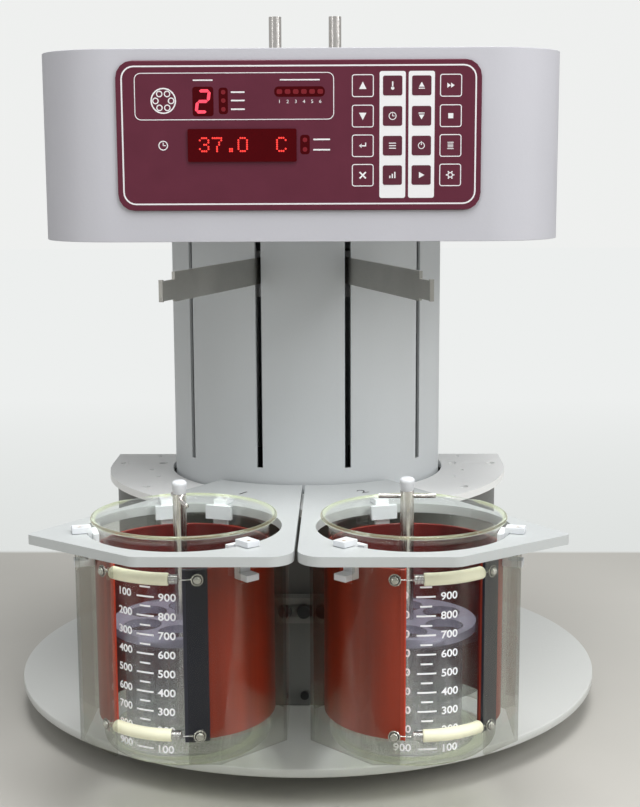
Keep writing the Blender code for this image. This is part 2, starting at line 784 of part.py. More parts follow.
def ray_cylinder(side, radius, along, beside, bottom, top):
    """An upright cylinder placed by distances along and beside a station's ray."""
    turn = math.radians(ARM_ANGLE)
    x = along * math.sin(turn) + beside * math.cos(turn)
    y = -along * math.cos(turn) + beside * math.sin(turn)
    return cylinder(radius, bottom, top, (side * x, AXIS_Y + y))


def make_lift(name, side):
    """A guide post, a lift arm on its carriage, and the actuator that moves them."""
    post = cylinder(POST_RADIUS, COLUMN_BOTTOM, POST_TOP, (side * POST_SPACING / 2, AXIS_Y))
    keep(post, f"guide_post_{name}", "steel")

    half = ARM_THICKNESS / 2
    arm_top = ARM_BOTTOM + ARM_HEIGHT
    bar = [
        (ARM_INNER, ARM_BOTTOM),
        (ARM_SHOULDER - NOTCH_WIDTH, ARM_BOTTOM),
        (ARM_SHOULDER, arm_top - TONGUE_DROP - TONGUE_HEIGHT),
        (ARM_REACH, arm_top - TONGUE_DROP - TONGUE_HEIGHT),
        (ARM_REACH, arm_top - TONGUE_DROP),
        (ARM_SHOULDER, arm_top - TONGUE_DROP),
        (ARM_SHOULDER, arm_top),
        (ARM_INNER, arm_top),
    ]
    arm = slab([bar], -half, half)
    arm.rotation_euler = (math.radians(90.0), 0.0, math.radians(side * ARM_ANGLE - 90.0))
    arm.location = (0.0, AXIS_Y, 0.0)
    arm = as_mesh(arm)
    lip = ray_box(
        side,
        (ARM_REACH - LIP_THICKNESS, ARM_REACH),
        (-half, LIP_WIDTH - half),
        (arm_top - TONGUE_DROP - TONGUE_HEIGHT - LIP_RISE / 2, arm_top - TONGUE_DROP + LIP_RISE),
    )
    keep(join(arm, lip), f"lift_arm_{name}", "steel")

    along, beside = post_place()
    start = half + GAP
    bottom = arm_top - CARRIAGE_HEIGHT
    block = ray_box(
        side,
        (CARRIAGE_INNER, CARRIAGE_INNER + CARRIAGE_LENGTH),
        (start, start + CARRIAGE_WIDTH),
        (bottom, arm_top),
    )
    bore = cylinder(
        POST_RADIUS + POST_BORE_CLEARANCE,
        bottom - OVERRUN,
        arm_top + OVERRUN,
        (side * POST_SPACING / 2, AXIS_Y),
    )
    lift_rod = ray_cylinder(
        side,
        LIFT_ROD_RADIUS,
        along,
        beside + LIFT_ROD_STEP,
        arm_top - LIFT_ROD_LENGTH - CARRIAGE_HEIGHT / 2,
        arm_top - CARRIAGE_HEIGHT / 2,
    )
    carriage = join(cut(block, bore), lift_rod)
    keep(carriage, f"lift_carriage_{name}", "aluminium")

    floor = COLUMN_BOTTOM
    motor = ray_box(
        side,
        (along - MOTOR_SIZE / 2, along + MOTOR_SIZE / 2),
        (beside + LIFT_ROD_STEP - ACTUATOR_RADIUS, beside + LIFT_ROD_STEP - ACTUATOR_RADIUS + MOTOR_SIZE),
        (floor, floor + MOTOR_HEIGHT),
    )
    barrel = ray_cylinder(
        side, ACTUATOR_RADIUS, along, beside + LIFT_ROD_STEP, floor + MOTOR_HEIGHT / 2, floor + ACTUATOR_HEIGHT
    )
    hollow = ray_cylinder(
        side,
        LIFT_ROD_RADIUS + POST_BORE_CLEARANCE,
        along,
        beside + LIFT_ROD_STEP,
        floor + ACTUATOR_FLOOR,
        floor + ACTUATOR_HEIGHT + OVERRUN,
    )
    keep(cut(join(motor, barrel), hollow), f"lift_actuator_{name}", "dark")


def beaker_profile():
    """The beaker's section: down the outside from the rim, and up the inside."""
    flare = RIM_TOP - BEAKER_FLARE_HEIGHT
    bottom = BEAKER_BOTTOM
    foot = BEAKER_FOOT_ROUND
    inside = BEAKER_RADIUS - BEAKER_WALL
    inner_foot = foot - BEAKER_WALL
    floor = bottom + BEAKER_FLOOR
    outer = [
        (BEAKER_RIM_RADIUS - BEAKER_LIP, RIM_TOP),
        (BEAKER_RIM_RADIUS, RIM_TOP - BEAKER_LIP),
        (BEAKER_RIM_RADIUS - BEAKER_LIP, RIM_TOP - 2 * BEAKER_LIP),
        (BEAKER_RADIUS, flare),
    ]
    for step in range(4):
        angle = math.radians(90.0 * step / 3)
        outer.append((BEAKER_RADIUS - foot + foot * math.cos(angle), bottom + foot - foot * math.sin(angle)))
    inner = []
    for step in range(3):
        angle = math.radians(90.0 - 90.0 * step / 2)
        radius = inside - inner_foot + inner_foot * math.cos(angle)
        inner.append((radius, floor + inner_foot - inner_foot * math.sin(angle)))
    inner.append((inside, flare))
    rim_inside = BEAKER_RIM_RADIUS - BEAKER_WALL
    return outer, inner, (rim_inside, RIM_TOP - BEAKER_LIP)


def make_beaker(name, side):
    """The glass beaker, turned, with its rim drawn out into a spout on one side."""
    outer, inner, lip = beaker_profile()
    centre = station_centre(side)
    profile = outer + [(0.0, BEAKER_BOTTOM), (0.0, BEAKER_BOTTOM + BEAKER_FLOOR)] + inner + [lip, outer[0]]
    beaker = turned(profile, (0.0, 0.0), BEAKER_ROUND)
    heading = math.radians(station_heading(side, SPOUT_ANGLES[name]))
    reach = math.radians(SPOUT_HALF_ANGLE)
    flare = RIM_TOP - BEAKER_FLARE_HEIGHT
    for vertex in beaker.data.vertices:
        place = vertex.co
        if place.z <= flare + MERGE:
            continue
        off = math.atan2(place.x, -place.y) - heading
        off = math.atan2(math.sin(off), math.cos(off))
        if abs(off) >= reach:
            continue
        share = math.cos(off / reach * math.pi / 2) ** 2 * (place.z - flare) / BEAKER_FLARE_HEIGHT
        place.x += math.sin(heading) * SPOUT_REACH * share
        place.y -= math.cos(heading) * SPOUT_REACH * share
        place.z -= SPOUT_DROP * share
    beaker.location = (*centre, 0.0)
    keep(beaker, f"beaker_{name}", "glass", 40.0)


def clip_outline():
    """The clip's section as (distance from the beaker's axis, height) points."""
    under_flare = RIM_TOP - BEAKER_FLARE_HEIGHT + GAP
    body_inner = JACKET_OUTER + 2 * GAP
    body_outer = body_inner + CLIP_BODY_THICKNESS
    foot_top = PLATE_BOTTOM - CLIP_FOOT_DROP
    foot_bottom = foot_top - CLIP_FOOT_THICKNESS
    pad_bottom = PLATE_TOP + GAP
    pad_top = pad_bottom + CLIP_PAD_THICKNESS
    return [
        (body_inner, under_flare),
        (body_inner, foot_bottom),
        (body_outer + CLIP_FOOT_LENGTH, foot_bottom),
        (body_outer + CLIP_FOOT_LENGTH, foot_top),
        (body_outer, foot_top),
        (body_outer, pad_bottom),
        (body_outer + CLIP_PAD_LENGTH, pad_bottom),
        (body_outer + CLIP_PAD_LENGTH, pad_top),
        (body_inner + 4 * GAP, pad_top),
        (body_inner + 4 * GAP, under_flare),
    ]


def make_clips(name, side):
    """White clips that hook over the plate's edge; their crossbars carry the beaker's rim."""
    body_inner = JACKET_OUTER + 2 * GAP
    hole_place = body_inner + CLIP_BODY_THICKNESS + CLIP_PAD_LENGTH / 2
    pad_top = PLATE_TOP + GAP + CLIP_PAD_THICKNESS
    bar_top = RIM_TOP - BEAKER_FLARE_HEIGHT + GAP
    for place, angle in CLIP_ANGLES[name].items():
        clip = slab([clip_outline()], -CLIP_WIDTH / 2, CLIP_WIDTH / 2)
        where, turn = station_place(side, mirrored(side, angle))
        clip.rotation_euler = (math.radians(90.0), 0.0, turn[2] - math.radians(90.0))
        clip.location = where
        clip = bevel(as_mesh(clip), CLIP_EDGE)
        crossbar = box(
            (-CLIP_BAR_WIDTH / 2, -body_inner - CLIP_EDGE, bar_top - CLIP_BAR_HEIGHT),
            (CLIP_BAR_WIDTH / 2, -CLIP_BAR_RADIUS, bar_top - MERGE),
        )
        crossbar.location, crossbar.rotation_euler = where, turn
        clip = join(clip, crossbar)
        x, y = station_point(side, hole_place, mirrored(side, angle))
        hole = cylinder(CLIP_HOLE_RADIUS, pad_top - CLIP_HOLE_DEPTH, pad_top + OVERRUN, (x, y), 10)
        keep(cut(clip, hole), f"clip_{name}_{place}", "nylon")


def bolt(side, angle, height, root):
    """A small bolt that stands out of a jacket's end and takes a spring's hook."""
    base = station_point(side, root, angle)
    neck = STRIP_OUTER + BOLT_NECK
    end = station_point(side, neck + BOLT_HEAD_THICKNESS, angle)
    start = station_point(side, neck, angle)
    shank = rod(BOLT_RADIUS, (*base, height), (*start, height), 12)
    overlap = station_point(side, neck - BOLT_HEAD_THICKNESS / 4, angle)
    head = rod(BOLT_HEAD_RADIUS, (*overlap, height), (*end, height), 12)
    return join(shank, head)


def make_jacket(name, side):
    """The heating jacket, open in front, and the dark strip that stiffens one end of it."""
    centre = station_centre(side)
    left_edge, right_edge = JACKET_EDGES[name]
    start = station_heading(side, right_edge)
    end = station_heading(side, left_edge) + 360.0
    outer = arc(centre, JACKET_OUTER, start, end, BEAKER_ROUND)
    inner = arc(centre, JACKET_INNER, end, start, BEAKER_ROUND)
    jacket = slab([outer + inner], JACKET_BOTTOM, JACKET_TOP)
    bolts = [bolt(side, -BOLT_ANGLE, height, JACKET_OUTER - JACKET_THICKNESS / 2)
             for height in SPRING_HEIGHTS.values()]
    keep(join(jacket, *bolts), f"heating_jacket_{name}", "silicone")

    last = start + STRIP_WIDTH_ANGLE
    outer = arc(centre, STRIP_OUTER, start, last, CORNER_STEPS)
    inner = arc(centre, STRIP_INNER, last, start, CORNER_STEPS)
    strip = slab([outer + inner], JACKET_BOTTOM - STRIP_OVERHANG, JACKET_TOP + STRIP_OVERHANG)
    bolts = [bolt(side, BOLT_ANGLE, height, STRIP_OUTER - STRIP_THICKNESS / 2)
             for height in SPRING_HEIGHTS.values()]
    keep(join(strip, *bolts), f"jacket_strip_{name}", "strip")


def spring_points(side, height):
    """The path of a closing spring: hook, bare curls, and the run inside the sleeve.

    Distances are counted along the arc on which the sleeve lies. The curls of the left station
    stand at its right, and those of the right station at its left, as the springs were hung.
    """
    lead = 1.0 if side < 0 else -1.0
    sleeve_end = SLEEVE_LEFT_ANGLE + SLEEVE_SWEEP
    coil_start = sleeve_end - math.degrees(SPRING_PITCH * SPRING_MOUTH_CURLS / SLEEVE_ARC)
    neck = STRIP_OUTER + BOLT_NECK / 2
    hook = BOLT_ANGLE - math.degrees((BOLT_RADIUS + GAP + SPRING_WIRE / 2) / neck)
    points = []

    def put(radius, angle, rise):
        """Adds a point, with the angle mirrored for the right station."""
        points.append((*station_point(side, radius, lead * angle), height + rise))

    put(neck, -hook, 0.0)
    put(neck, SLEEVE_LEFT_ANGLE - SPRING_RISE_ANGLE, 0.0)
    steps = 6
    for step in range(steps + 1):
        put(SLEEVE_ARC, SLEEVE_LEFT_ANGLE + (coil_start - SLEEVE_LEFT_ANGLE) * step / steps, 0.0)
    total = SPRING_CURLS * POINTS_PER_CURL
    pitch_angle = math.degrees(SPRING_PITCH / SLEEVE_ARC)
    for step in range(1, total + 1):
        turn = 2 * math.pi * step / POINTS_PER_CURL
        grow = min(1.0, step / (POINTS_PER_CURL / 2), (total - step) / (POINTS_PER_CURL / 2))
        radius = SPRING_RADIUS * grow
        angle = coil_start + pitch_angle * (1 + step / POINTS_PER_CURL)
        put(SLEEVE_ARC + radius * math.cos(turn), angle, radius * math.sin(turn))
    last = coil_start + pitch_angle * (1 + SPRING_CURLS)
    put(neck, last + SPRING_RISE_ANGLE, 0.0)
    put(neck, hook, 0.0)
    return points


def least_gap(points, wire_diameter):
    """The smallest clear distance between curls that are half a turn or more apart."""
    places = [Vector(point) for point in points]
    apart = POINTS_PER_CURL // 2 + 1
    least = min(
        (places[first] - places[second]).length
        for first in range(len(places))
        for second in range(first + apart, len(places))
    )
    return least - wire_diameter


def make_springs(name, side):
    """The two springs that pull the jacket shut, and the sleeves that keep them off the glass."""
    lead = 1.0 if side < 0 else -1.0
    for level, height in SPRING_HEIGHTS.items():
        points = spring_points(side, height)
        print(f"spring_{name}_{level}: least gap {least_gap(points, SPRING_WIRE) * 1000:.2f} mm")
        keep(as_mesh(wire(points, SPRING_WIRE / 2, 1)), f"spring_{name}_{level}", "steel", 60.0)
        path = []
        steps = CORNER_STEPS
        for step in range(steps + 1):
            angle = SLEEVE_LEFT_ANGLE + SLEEVE_SWEEP * step / steps
            path.append((*station_point(side, SLEEVE_ARC, lead * angle), height))
        sleeve = as_mesh(wire(path, SLEEVE_RADIUS, 2, caps=False))
        wall = sleeve.modifiers.new("wall", "SOLIDIFY")
        wall.thickness = SLEEVE_WALL
        wall.offset = -1.0
        keep(as_mesh(sleeve), f"sleeve_{name}_{level}", "sleeve", 50.0)


def make_shield(name, side):
    """The eight-sided clear shield that hangs under the plate, open in front."""
    centre = station_centre(side)
    pitch = 360.0 / SHIELD_SIDES

    def on_octagon(heading):
        """The point of the octagon in a machine direction."""
        flat = round(heading / pitch) * pitch
        radius = SHIELD_APOTHEM / math.cos(math.radians(heading - flat))
        return arc(centre, radius, heading, 0.0, 1)[0]

    inner_edge, outer_edge = SHIELD_FRONT_EDGES[name]
    start = STATION_ANGLE + outer_edge
    end = STATION_ANGLE + inner_edge + 360.0
    headings = [start]
    headings += [pitch * (index + 0.5) for index in range(1, SHIELD_SIDES) if start < pitch * (index + 0.5) < end]
    headings.append(end)
    if side < 0:
        headings = [-heading for heading in reversed(headings)]
    path = [on_octagon(heading) for heading in headings]
    shield = slab([ribbon(path, SHIELD_THICKNESS)], SHIELD_BOTTOM, SHIELD_TOP)

    for heading in (90.0 * side, 180.0):
        turn = math.radians(heading)
        tab = box(
            (-TAB_WIDTH / 2, -SHIELD_APOTHEM - TAB_LENGTH, SHIELD_TOP - TAB_THICKNESS),
            (TAB_WIDTH / 2, -SHIELD_APOTHEM + SHIELD_THICKNESS / 2, SHIELD_TOP),
        )
        tab.location = (*centre, 0.0)
        tab.rotation_euler = (0.0, 0.0, turn)
        middle = arc(centre, SHIELD_APOTHEM + TAB_LENGTH * 0.6, heading, 0.0, 1)[0]
        screw_top = SHIELD_TOP - TAB_THICKNESS / 2
        screw = cylinder(TAB_SCREW_RADIUS, screw_top - TAB_SCREW_HEAD, screw_top, middle, 12)
        shield = join(shield, tab, screw)

    body_outer = JACKET_OUTER + 2 * GAP + CLIP_BODY_THICKNESS
    reach = SHIELD_APOTHEM / math.cos(math.radians(pitch / 2)) + OVERRUN
    drop = CLIP_FOOT_DROP + CLIP_FOOT_THICKNESS + SHIELD_NOTCH_CLEARANCE
    for angle in CLIP_ANGLES[name].values():
        half = CLIP_WIDTH / 2 + SHIELD_NOTCH_CLEARANCE
        notch = box((-half, -reach - OVERRUN, PLATE_BOTTOM - drop), (half, -body_outer, PLATE_BOTTOM + OVERRUN))
        notch.location, notch.rotation_euler = station_place(side, mirrored(side, angle))
        shield = cut(shield, notch)
    keep(shield, f"shield_{name}", "smoke", 20.0)


def basket_centre(name, side):
    """A basket's axis in plan: it stands a little off the beaker's own axis."""
    x, y = station_centre(side)
    return (x + BASKET_OFFSETS[name], y)


def make_basket(name, side):
    """The basket rack: two plates, six tubes, wire screen, rod with cross pin, and knob."""
    centre = basket_centre(name, side)
    tube_places = [
        arc(centre, BASKET_TUBE_CIRCLE, 360.0 * index / BASKET_TUBES, 0.0, 1)[0] for index in range(BASKET_TUBES)
    ]
    screen = cylinder(BASKET_RADIUS - SCREEN_MARGIN, BASKET_BOTTOM, BASKET_BOTTOM + SCREEN_THICKNESS, centre, 40)
    keep(screen, f"basket_screen_{name}", "steel")

    edge = ring(centre, BASKET_RADIUS, BEAKER_ROUND)
    bores = [ring(place, BASKET_TUBE_RADIUS - BASKET_TUBE_WALL, TUBE_ROUND) for place in tube_places]
    rack = slab([edge] + bores, RACK_BOTTOM, RACK_BOTTOM + BASKET_PLATE)
    for place in tube_places:
        walls = [
            ring(place, BASKET_TUBE_RADIUS, TUBE_ROUND),
            ring(place, BASKET_TUBE_RADIUS - BASKET_TUBE_WALL, TUBE_ROUND),
        ]
        rack = join(rack, slab(walls, RACK_BOTTOM, RACK_TOP))
    keep(rack, f"basket_tubes_{name}", "acrylic")

    holes = [ring(place, BASKET_TUBE_RADIUS + GAP, TUBE_ROUND) for place in tube_places]
    holes.append(ring(centre, ROD_RADIUS + GAP, SMALL_ROUND))
    plate = slab([edge] + holes, RACK_TOP - BASKET_PLATE, RACK_TOP)
    keep(plate, f"basket_plate_{name}", "acrylic")

    rod_bottom = RACK_BOTTOM + BASKET_PLATE + GAP
    knob_top = KNOB_TOPS[name]
    rod_top = knob_top - KNOB_HEIGHT + KNOB_SOCKET
    stem = cylinder(ROD_RADIUS, rod_bottom, rod_top - KNOB_SOCKET - GAP, centre)
    stud = cylinder(ROD_RADIUS - KNOB_WALL, rod_bottom, rod_top, centre)
    turn = math.radians(PIN_ANGLES[name])
    reach = Vector((math.cos(turn), math.sin(turn), 0.0)) * PIN_LENGTH / 2
    middle = Vector((*centre, knob_top - PIN_DROPS[name]))
    pin = rod(PIN_RADIUS, middle - reach, middle + reach, 12)
    keep(join(stem, stud, pin), f"basket_rod_{name}", "steel")

    knob_bottom = knob_top - KNOB_HEIGHT
    edge_drop = KNOB_WALL
    bore = ROD_RADIUS - KNOB_WALL + GAP
    profile = [
        (0.0, knob_top),
        (KNOB_RADIUS - edge_drop, knob_top),
        (KNOB_RADIUS, knob_top - edge_drop),
        (KNOB_RADIUS, knob_top - KNOB_HEIGHT / 3),
        (KNOB_NECK_RADIUS, knob_bottom),
        (bore, knob_bottom),
        (bore, knob_bottom + KNOB_SOCKET + GAP),
        (0.0, knob_bottom + KNOB_SOCKET + GAP),
    ]
    keep(turned(profile, centre, SMALL_ROUND), f"basket_knob_{name}", "nylon")


def main():
    """Builds the whole object."""
    clear_scene()
    make_feet()
    make_base_disc()
    make_lower_housing()
    make_deck()
    make_column()
    make_head()
    make_sockets()
    for name, side in SIDES.items():
        make_station_plate(name, side)
        make_lift(name, side)
        make_beaker(name, side)
        make_clips(name, side)
        make_jacket(name, side)
        make_springs(name, side)
        make_shield(name, side)
        make_basket(name, side)


main()
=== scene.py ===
"""The looks of a two-station tablet disintegration tester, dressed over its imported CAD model.

Everything is in metres, in the frame of the CAD model: +Z is up and the front faces -Y. The
classes below stand for the tester's own sub-assemblies, and main() builds them in order.
Angles of a station are counted from the ray that runs out from the column through it, and grow
towards the machine's right. Angles are in degrees where nothing else is said.
"""

from __future__ import annotations

import json
import logging
import math
from dataclasses import dataclass
from enum import Enum
from typing import Any, ClassVar, Iterable, Sequence

import bmesh
import bpy
import numpy as np
from mathutils import Matrix, Vector

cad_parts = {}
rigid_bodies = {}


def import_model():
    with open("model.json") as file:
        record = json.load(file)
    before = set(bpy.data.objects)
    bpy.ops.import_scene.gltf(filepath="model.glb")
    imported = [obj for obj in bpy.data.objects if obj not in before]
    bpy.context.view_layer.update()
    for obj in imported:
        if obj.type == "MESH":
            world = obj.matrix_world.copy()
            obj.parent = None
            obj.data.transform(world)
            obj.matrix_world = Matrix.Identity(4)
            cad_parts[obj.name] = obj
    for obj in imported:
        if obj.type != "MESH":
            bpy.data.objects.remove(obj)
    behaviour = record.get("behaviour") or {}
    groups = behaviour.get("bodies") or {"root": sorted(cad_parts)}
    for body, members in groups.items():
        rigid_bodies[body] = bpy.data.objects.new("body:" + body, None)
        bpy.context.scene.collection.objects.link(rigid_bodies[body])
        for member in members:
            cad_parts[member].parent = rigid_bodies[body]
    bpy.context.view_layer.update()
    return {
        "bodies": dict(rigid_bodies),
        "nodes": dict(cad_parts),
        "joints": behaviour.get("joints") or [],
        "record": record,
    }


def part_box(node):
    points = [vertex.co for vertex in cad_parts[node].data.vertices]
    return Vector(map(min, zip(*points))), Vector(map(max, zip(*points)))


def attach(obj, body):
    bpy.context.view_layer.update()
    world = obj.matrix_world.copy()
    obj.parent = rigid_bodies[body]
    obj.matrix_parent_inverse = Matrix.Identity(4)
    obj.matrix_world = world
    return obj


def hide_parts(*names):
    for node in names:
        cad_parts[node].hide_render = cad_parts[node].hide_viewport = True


LOG = logging.getLogger("tester")

Pair = tuple[float, float]
Triple = tuple[float, float, float]
Colour = Triple
Array = np.ndarray
Section = Sequence[Pair]

NO_LIGHT: Colour = (0.0, 0.0, 0.0)
PLAIN_IOR = 1.46
MERGE_DISTANCE = 2e-6
FIGURE_EXTRUSION = 0.02
FIGURE_SMOOTHNESS = 4
MAX_BOUNCES = 24
MAX_CLEAR_WALLS = 40
STRONG_FACE_WEIGHT = 100
SIGN_DISC_STEPS = 20
SIGN_RING_STEPS = 28


def srgb(red: int, green: int, blue: int) -> Colour:
    """Turns a display colour into the linear values that a shader takes.

    A share s becomes s / 12.92 up to 0.04045, and ((s + 0.055) / 1.055) ** 2.4 above it.

    Args:
        red: red, 0 to 255.
        green: green, 0 to 255.
        blue: blue, 0 to 255.

    Returns:
        The linear colour.
    """
    shares = np.array([red, green, blue]) / 255.0
    linear = np.where(shares <= 0.04045, shares / 12.92, ((shares + 0.055) / 1.055) ** 2.4)
    return tuple(float(value) for value in linear)


class Side(Enum):
    """The two stations. The value is the sign of their X."""

    LEFT = -1
    RIGHT = 1

    @property
    def word(self) -> str:
        """The side's name as the CAD nodes write it."""
        return self.name.lower()


# Shader maths


class Socket:
    """One output of a node. Python's operators on it add Math nodes."""

    def __init__(self, tree: "ShaderTree", output: bpy.types.NodeSocket | None) -> None:
        """Wraps an output.

        Args:
            tree: the node tree that the output belongs to.
            output: the output itself, or None for a node that has none.
        """
        self.tree = tree
        self.output = output

    def __add__(self, other: "Socket | float") -> "Socket":
        """self + other."""
        return self.tree.maths("ADD", self, other)

    def __radd__(self, other: float) -> "Socket":
        """other + self."""
        return self.tree.maths("ADD", other, self)

    def __sub__(self, other: "Socket | float") -> "Socket":
        """self - other."""
        return self.tree.maths("SUBTRACT", self, other)

    def __rsub__(self, other: float) -> "Socket":
        """other - self."""
        return self.tree.maths("SUBTRACT", other, self)

    def __mul__(self, other: "Socket | float") -> "Socket":
        """self * other."""
        return self.tree.maths("MULTIPLY", self, other)

    def __pow__(self, other: float) -> "Socket":
        """self ** other."""
        return self.tree.maths("POWER", self, other)


class ShaderTree:
    """The node tree of one material or world, with the few ways in which this file fills it."""

    def __init__(self, owner: bpy.types.Material | bpy.types.World) -> None:
        """Empties a node tree.

        Args:
            owner: the material or world that has the tree.
        """
        owner.use_nodes = True
        self.tree = owner.node_tree
        self.tree.nodes.clear()

    def node(
        self,
        kind: str,
        settings: dict[str, Any] | None = None,
        values: dict[str, Any] | None = None,
        result: str | int = 0,
    ) -> Socket:
        """Adds a node of any type.

        Args:
            kind: the node's type, such as ShaderNodeTexNoise.
            settings: its properties, set first.
            values: numbers, colours or sockets for its inputs, by name or identifier.
            result: the output that is wanted, by name or number.

        Returns:
            The wanted output.
        """
        made = self.tree.nodes.new(kind)
        for key, value in (settings or {}).items():
            setattr(made, key, value)
        for key, value in (values or {}).items():
            slot = next(s for s in made.inputs if key in (s.identifier, s.name) and s.enabled)
            self._fill(slot, value)
        if not made.outputs:
            return Socket(self, None)
        if isinstance(result, int):
            return Socket(self, made.outputs[result])
        wanted = next(s for s in made.outputs if result in (s.identifier, s.name) and s.enabled)
        return Socket(self, wanted)

    def _fill(self, slot: bpy.types.NodeSocket, value: Any) -> None:
        """Links a socket to an input, or writes a number or colour into it.

        Args:
            slot: the input.
            value: a socket, a number or a colour.
        """
        if isinstance(value, Socket):
            self.tree.links.new(value.output, slot)
        elif slot.type == "RGBA" and len(value) == 3:
            slot.default_value = (*value, 1.0)
        else:
            slot.default_value = value

    def maths(self, operation: str, first: Socket | float, second: Socket | float) -> Socket:
        """Adds a Math node.

        Args:
            operation: the node's operation.
            first: first number or socket.
            second: second number or socket.

        Returns:
            The node's output.
        """
        made = self.tree.nodes.new("ShaderNodeMath")
        made.operation = operation
        for slot, value in zip(made.inputs, (first, second)):
            self._fill(slot, value)
        return Socket(self, made.outputs[0])

    def place(self, axis: str) -> Socket:
        """One of the object's own coordinates, X, Y or Z."""
        where = self.node("ShaderNodeTexCoord", result="Object")
        return self.node("ShaderNodeSeparateXYZ", values={"Vector": where}, result=axis)

    def ray(self, question: str) -> Socket:
        """1 for the rays that a question such as Is Camera Ray is true of, and 0 for others."""
        return self.node("ShaderNodeLightPath", result=question)

    def noise(self, waves: float, detail: float = 3.0, stretch: Triple = (1.0, 1.0, 1.0)) -> Socket:
        """Noise on object coordinates.

        Args:
            waves: waves per metre.
            detail: how many finer layers it has.
            stretch: factor on each axis; a small one draws the pattern out along that axis.

        Returns:
            The noise, about 0 to 1.
        """
        where = self.node("ShaderNodeTexCoord", result="Object")
        place = self.node("ShaderNodeMapping", values={"Vector": where, "Scale": stretch})
        values = {"Vector": place, "Scale": waves, "Detail": detail}
        return self.node("ShaderNodeTexNoise", values=values, result="Fac")

    def blend(self, share: Socket, first: Colour | Socket, second: Colour | Socket) -> Socket:
        """Mixes two colours.

        Args:
            share: 0 gives the first and 1 the second.
            first: a colour or a socket.
            second: a colour or a socket.

        Returns:
            The mixed colour.
        """
        values = {"Factor_Float": share, "A_Color": first, "B_Color": second}
        settings = {"data_type": "RGBA", "clamp_factor": True}
        return self.node("ShaderNodeMix", settings, values, "Result_Color")

    def ramp(self, value: Socket, low: float, high: float) -> Socket:
        """Stretches a value so that low becomes 0 and high becomes 1, held between them."""
        values = {"Value": value, "From Min": low, "From Max": high}
        return self.node("ShaderNodeMapRange", {"clamp": True}, values, "Result")

    def bump(self, height: Socket, distance: float, strength: float) -> Socket:
        """Turns a height pattern into a normal.

        Args:
            height: the pattern, 0 to 1.
            distance: how deep it is, in metres.
            strength: how much of it is used.

        Returns:
            The normal.
        """
        values = {"Height": height, "Distance": distance, "Strength": strength}
        return self.node("ShaderNodeBump", values=values)

    def principled(self, **values: Any) -> Socket:
        """Adds a Principled shader.

        Args:
            **values: its inputs by name, with underscores for spaces.

        Returns:
            The shader.
        """
        sockets = {"IOR": PLAIN_IOR}
        sockets.update({key.replace("_", " "): value for key, value in values.items()})
        return self.node("ShaderNodeBsdfPrincipled", values=sockets)

    def either(self, share: Socket, first: Socket, second: Socket) -> Socket:
        """Mixes two shaders; share 0 gives the first and 1 the second."""
        values = {"Fac": share, "Shader": first, "Shader_001": second}
        return self.node("ShaderNodeMixShader", values=values)

    def close(self, shader: Socket, output: str = "ShaderNodeOutputMaterial") -> None:
        """Ends the tree in its output, a node of the type that is named."""
        self.node(output, values={"Surface": shader})

    def close_clear(self, shader: Socket, tint: Colour, share: Socket | float) -> None:
        """Ends the tree of a clear material.

        A share of the light goes straight through a thin wall: share (1 - f ** 5), where f grows
        from 0 face on to 1 at a glancing angle. All of a shadow ray goes through.

        Args:
            shader: the clear shader, for the rest of the light.
            tint: colour of the light that passes one surface.
            share: the part that goes straight through, face on.
        """
        facing = self.node("ShaderNodeLayerWeight", values={"Blend": 0.5}, result="Facing")
        straight = (1.0 - facing ** 5.0) * share
        through = self.node("ShaderNodeBsdfTransparent", values={"Color": tint})
        straight = self.maths("MAXIMUM", straight, self.ray("Is Shadow Ray"))
        self.close(self.either(straight, shader, through))


# Finishes


@dataclass(frozen=True)
class Finish:
    """A surface finish. Its material is made once and shared by the pieces that have it.

    A family's waves are the waves of a pattern in a metre, its tones the darkest and lightest
    share of the colour, its spread the part of a pattern between them, its swing how far a pattern
    moves the roughness, and its relief how much of a bump is used.
    """

    name: str
    colour: Colour
    roughness: float = 0.4
    tones: ClassVar[Pair] = (1.0, 1.0)
    spread: ClassVar[Pair] = (0.3, 0.7)

    def dress(self, tree: ShaderTree) -> None:
        """Fills the finish's node tree."""
        raise NotImplementedError

    def material(self) -> bpy.types.Material:
        """Makes the finish's material, or finds the one made before.

        Returns:
            The material.
        """
        name = f"look_{self.name}"
        found = bpy.data.materials.get(name)
        if found is None:
            found = bpy.data.materials.new(name)
            self.dress(ShaderTree(found))
        return found

    def shade(self, factor: float) -> Colour:
        """The finish's colour, made lighter or darker."""
        return tuple(min(1.0, value * factor) for value in self.colour)

    def toned(self, tree: ShaderTree, pattern: Socket) -> Socket:
        """The finish's colour, between its tones as a pattern says."""
        share = tree.ramp(pattern, *self.spread)
        return tree.blend(share, self.shade(self.tones[0]), self.shade(self.tones[1]))

    def rough(self, pattern: Socket, swing: float) -> Socket:
        """The finish's roughness, moved up and down by a pattern."""
        return self.roughness + (pattern - 0.5) * swing


@dataclass(frozen=True)
class PaintedSheet(Finish):
    """Stoved paint on sheet metal: a fine orange peel and slow changes of tone."""

    peel: float = 0.00012
    tones: ClassVar[Pair] = (0.965, 1.03)
    spread: ClassVar[Pair] = (0.2, 0.8)
    cloud_waves: ClassVar[float] = 7.0
    speckle_waves: ClassVar[float] = 1400.0
    peel_waves: ClassVar[float] = 420.0
    speckle: ClassVar[float] = 0.24
    swing: ClassVar[float] = 0.16
    relief: ClassVar[float] = 0.35

    def dress(self, tree: ShaderTree) -> None:
        """Fills the finish's node tree.

        Args:
            tree: the material's node tree.
        """
        clouds = tree.noise(self.cloud_waves)
        speckles = tree.noise(self.speckle_waves, detail=2.0)
        peel = tree.noise(self.peel_waves, detail=2.0)
        shader = tree.principled(
            Base_Color=self.toned(tree, clouds + (speckles - 0.5) * self.speckle),
            Roughness=self.rough(peel, self.swing),
            Normal=tree.bump(peel, self.peel, self.relief),
        )
        tree.close(shader)


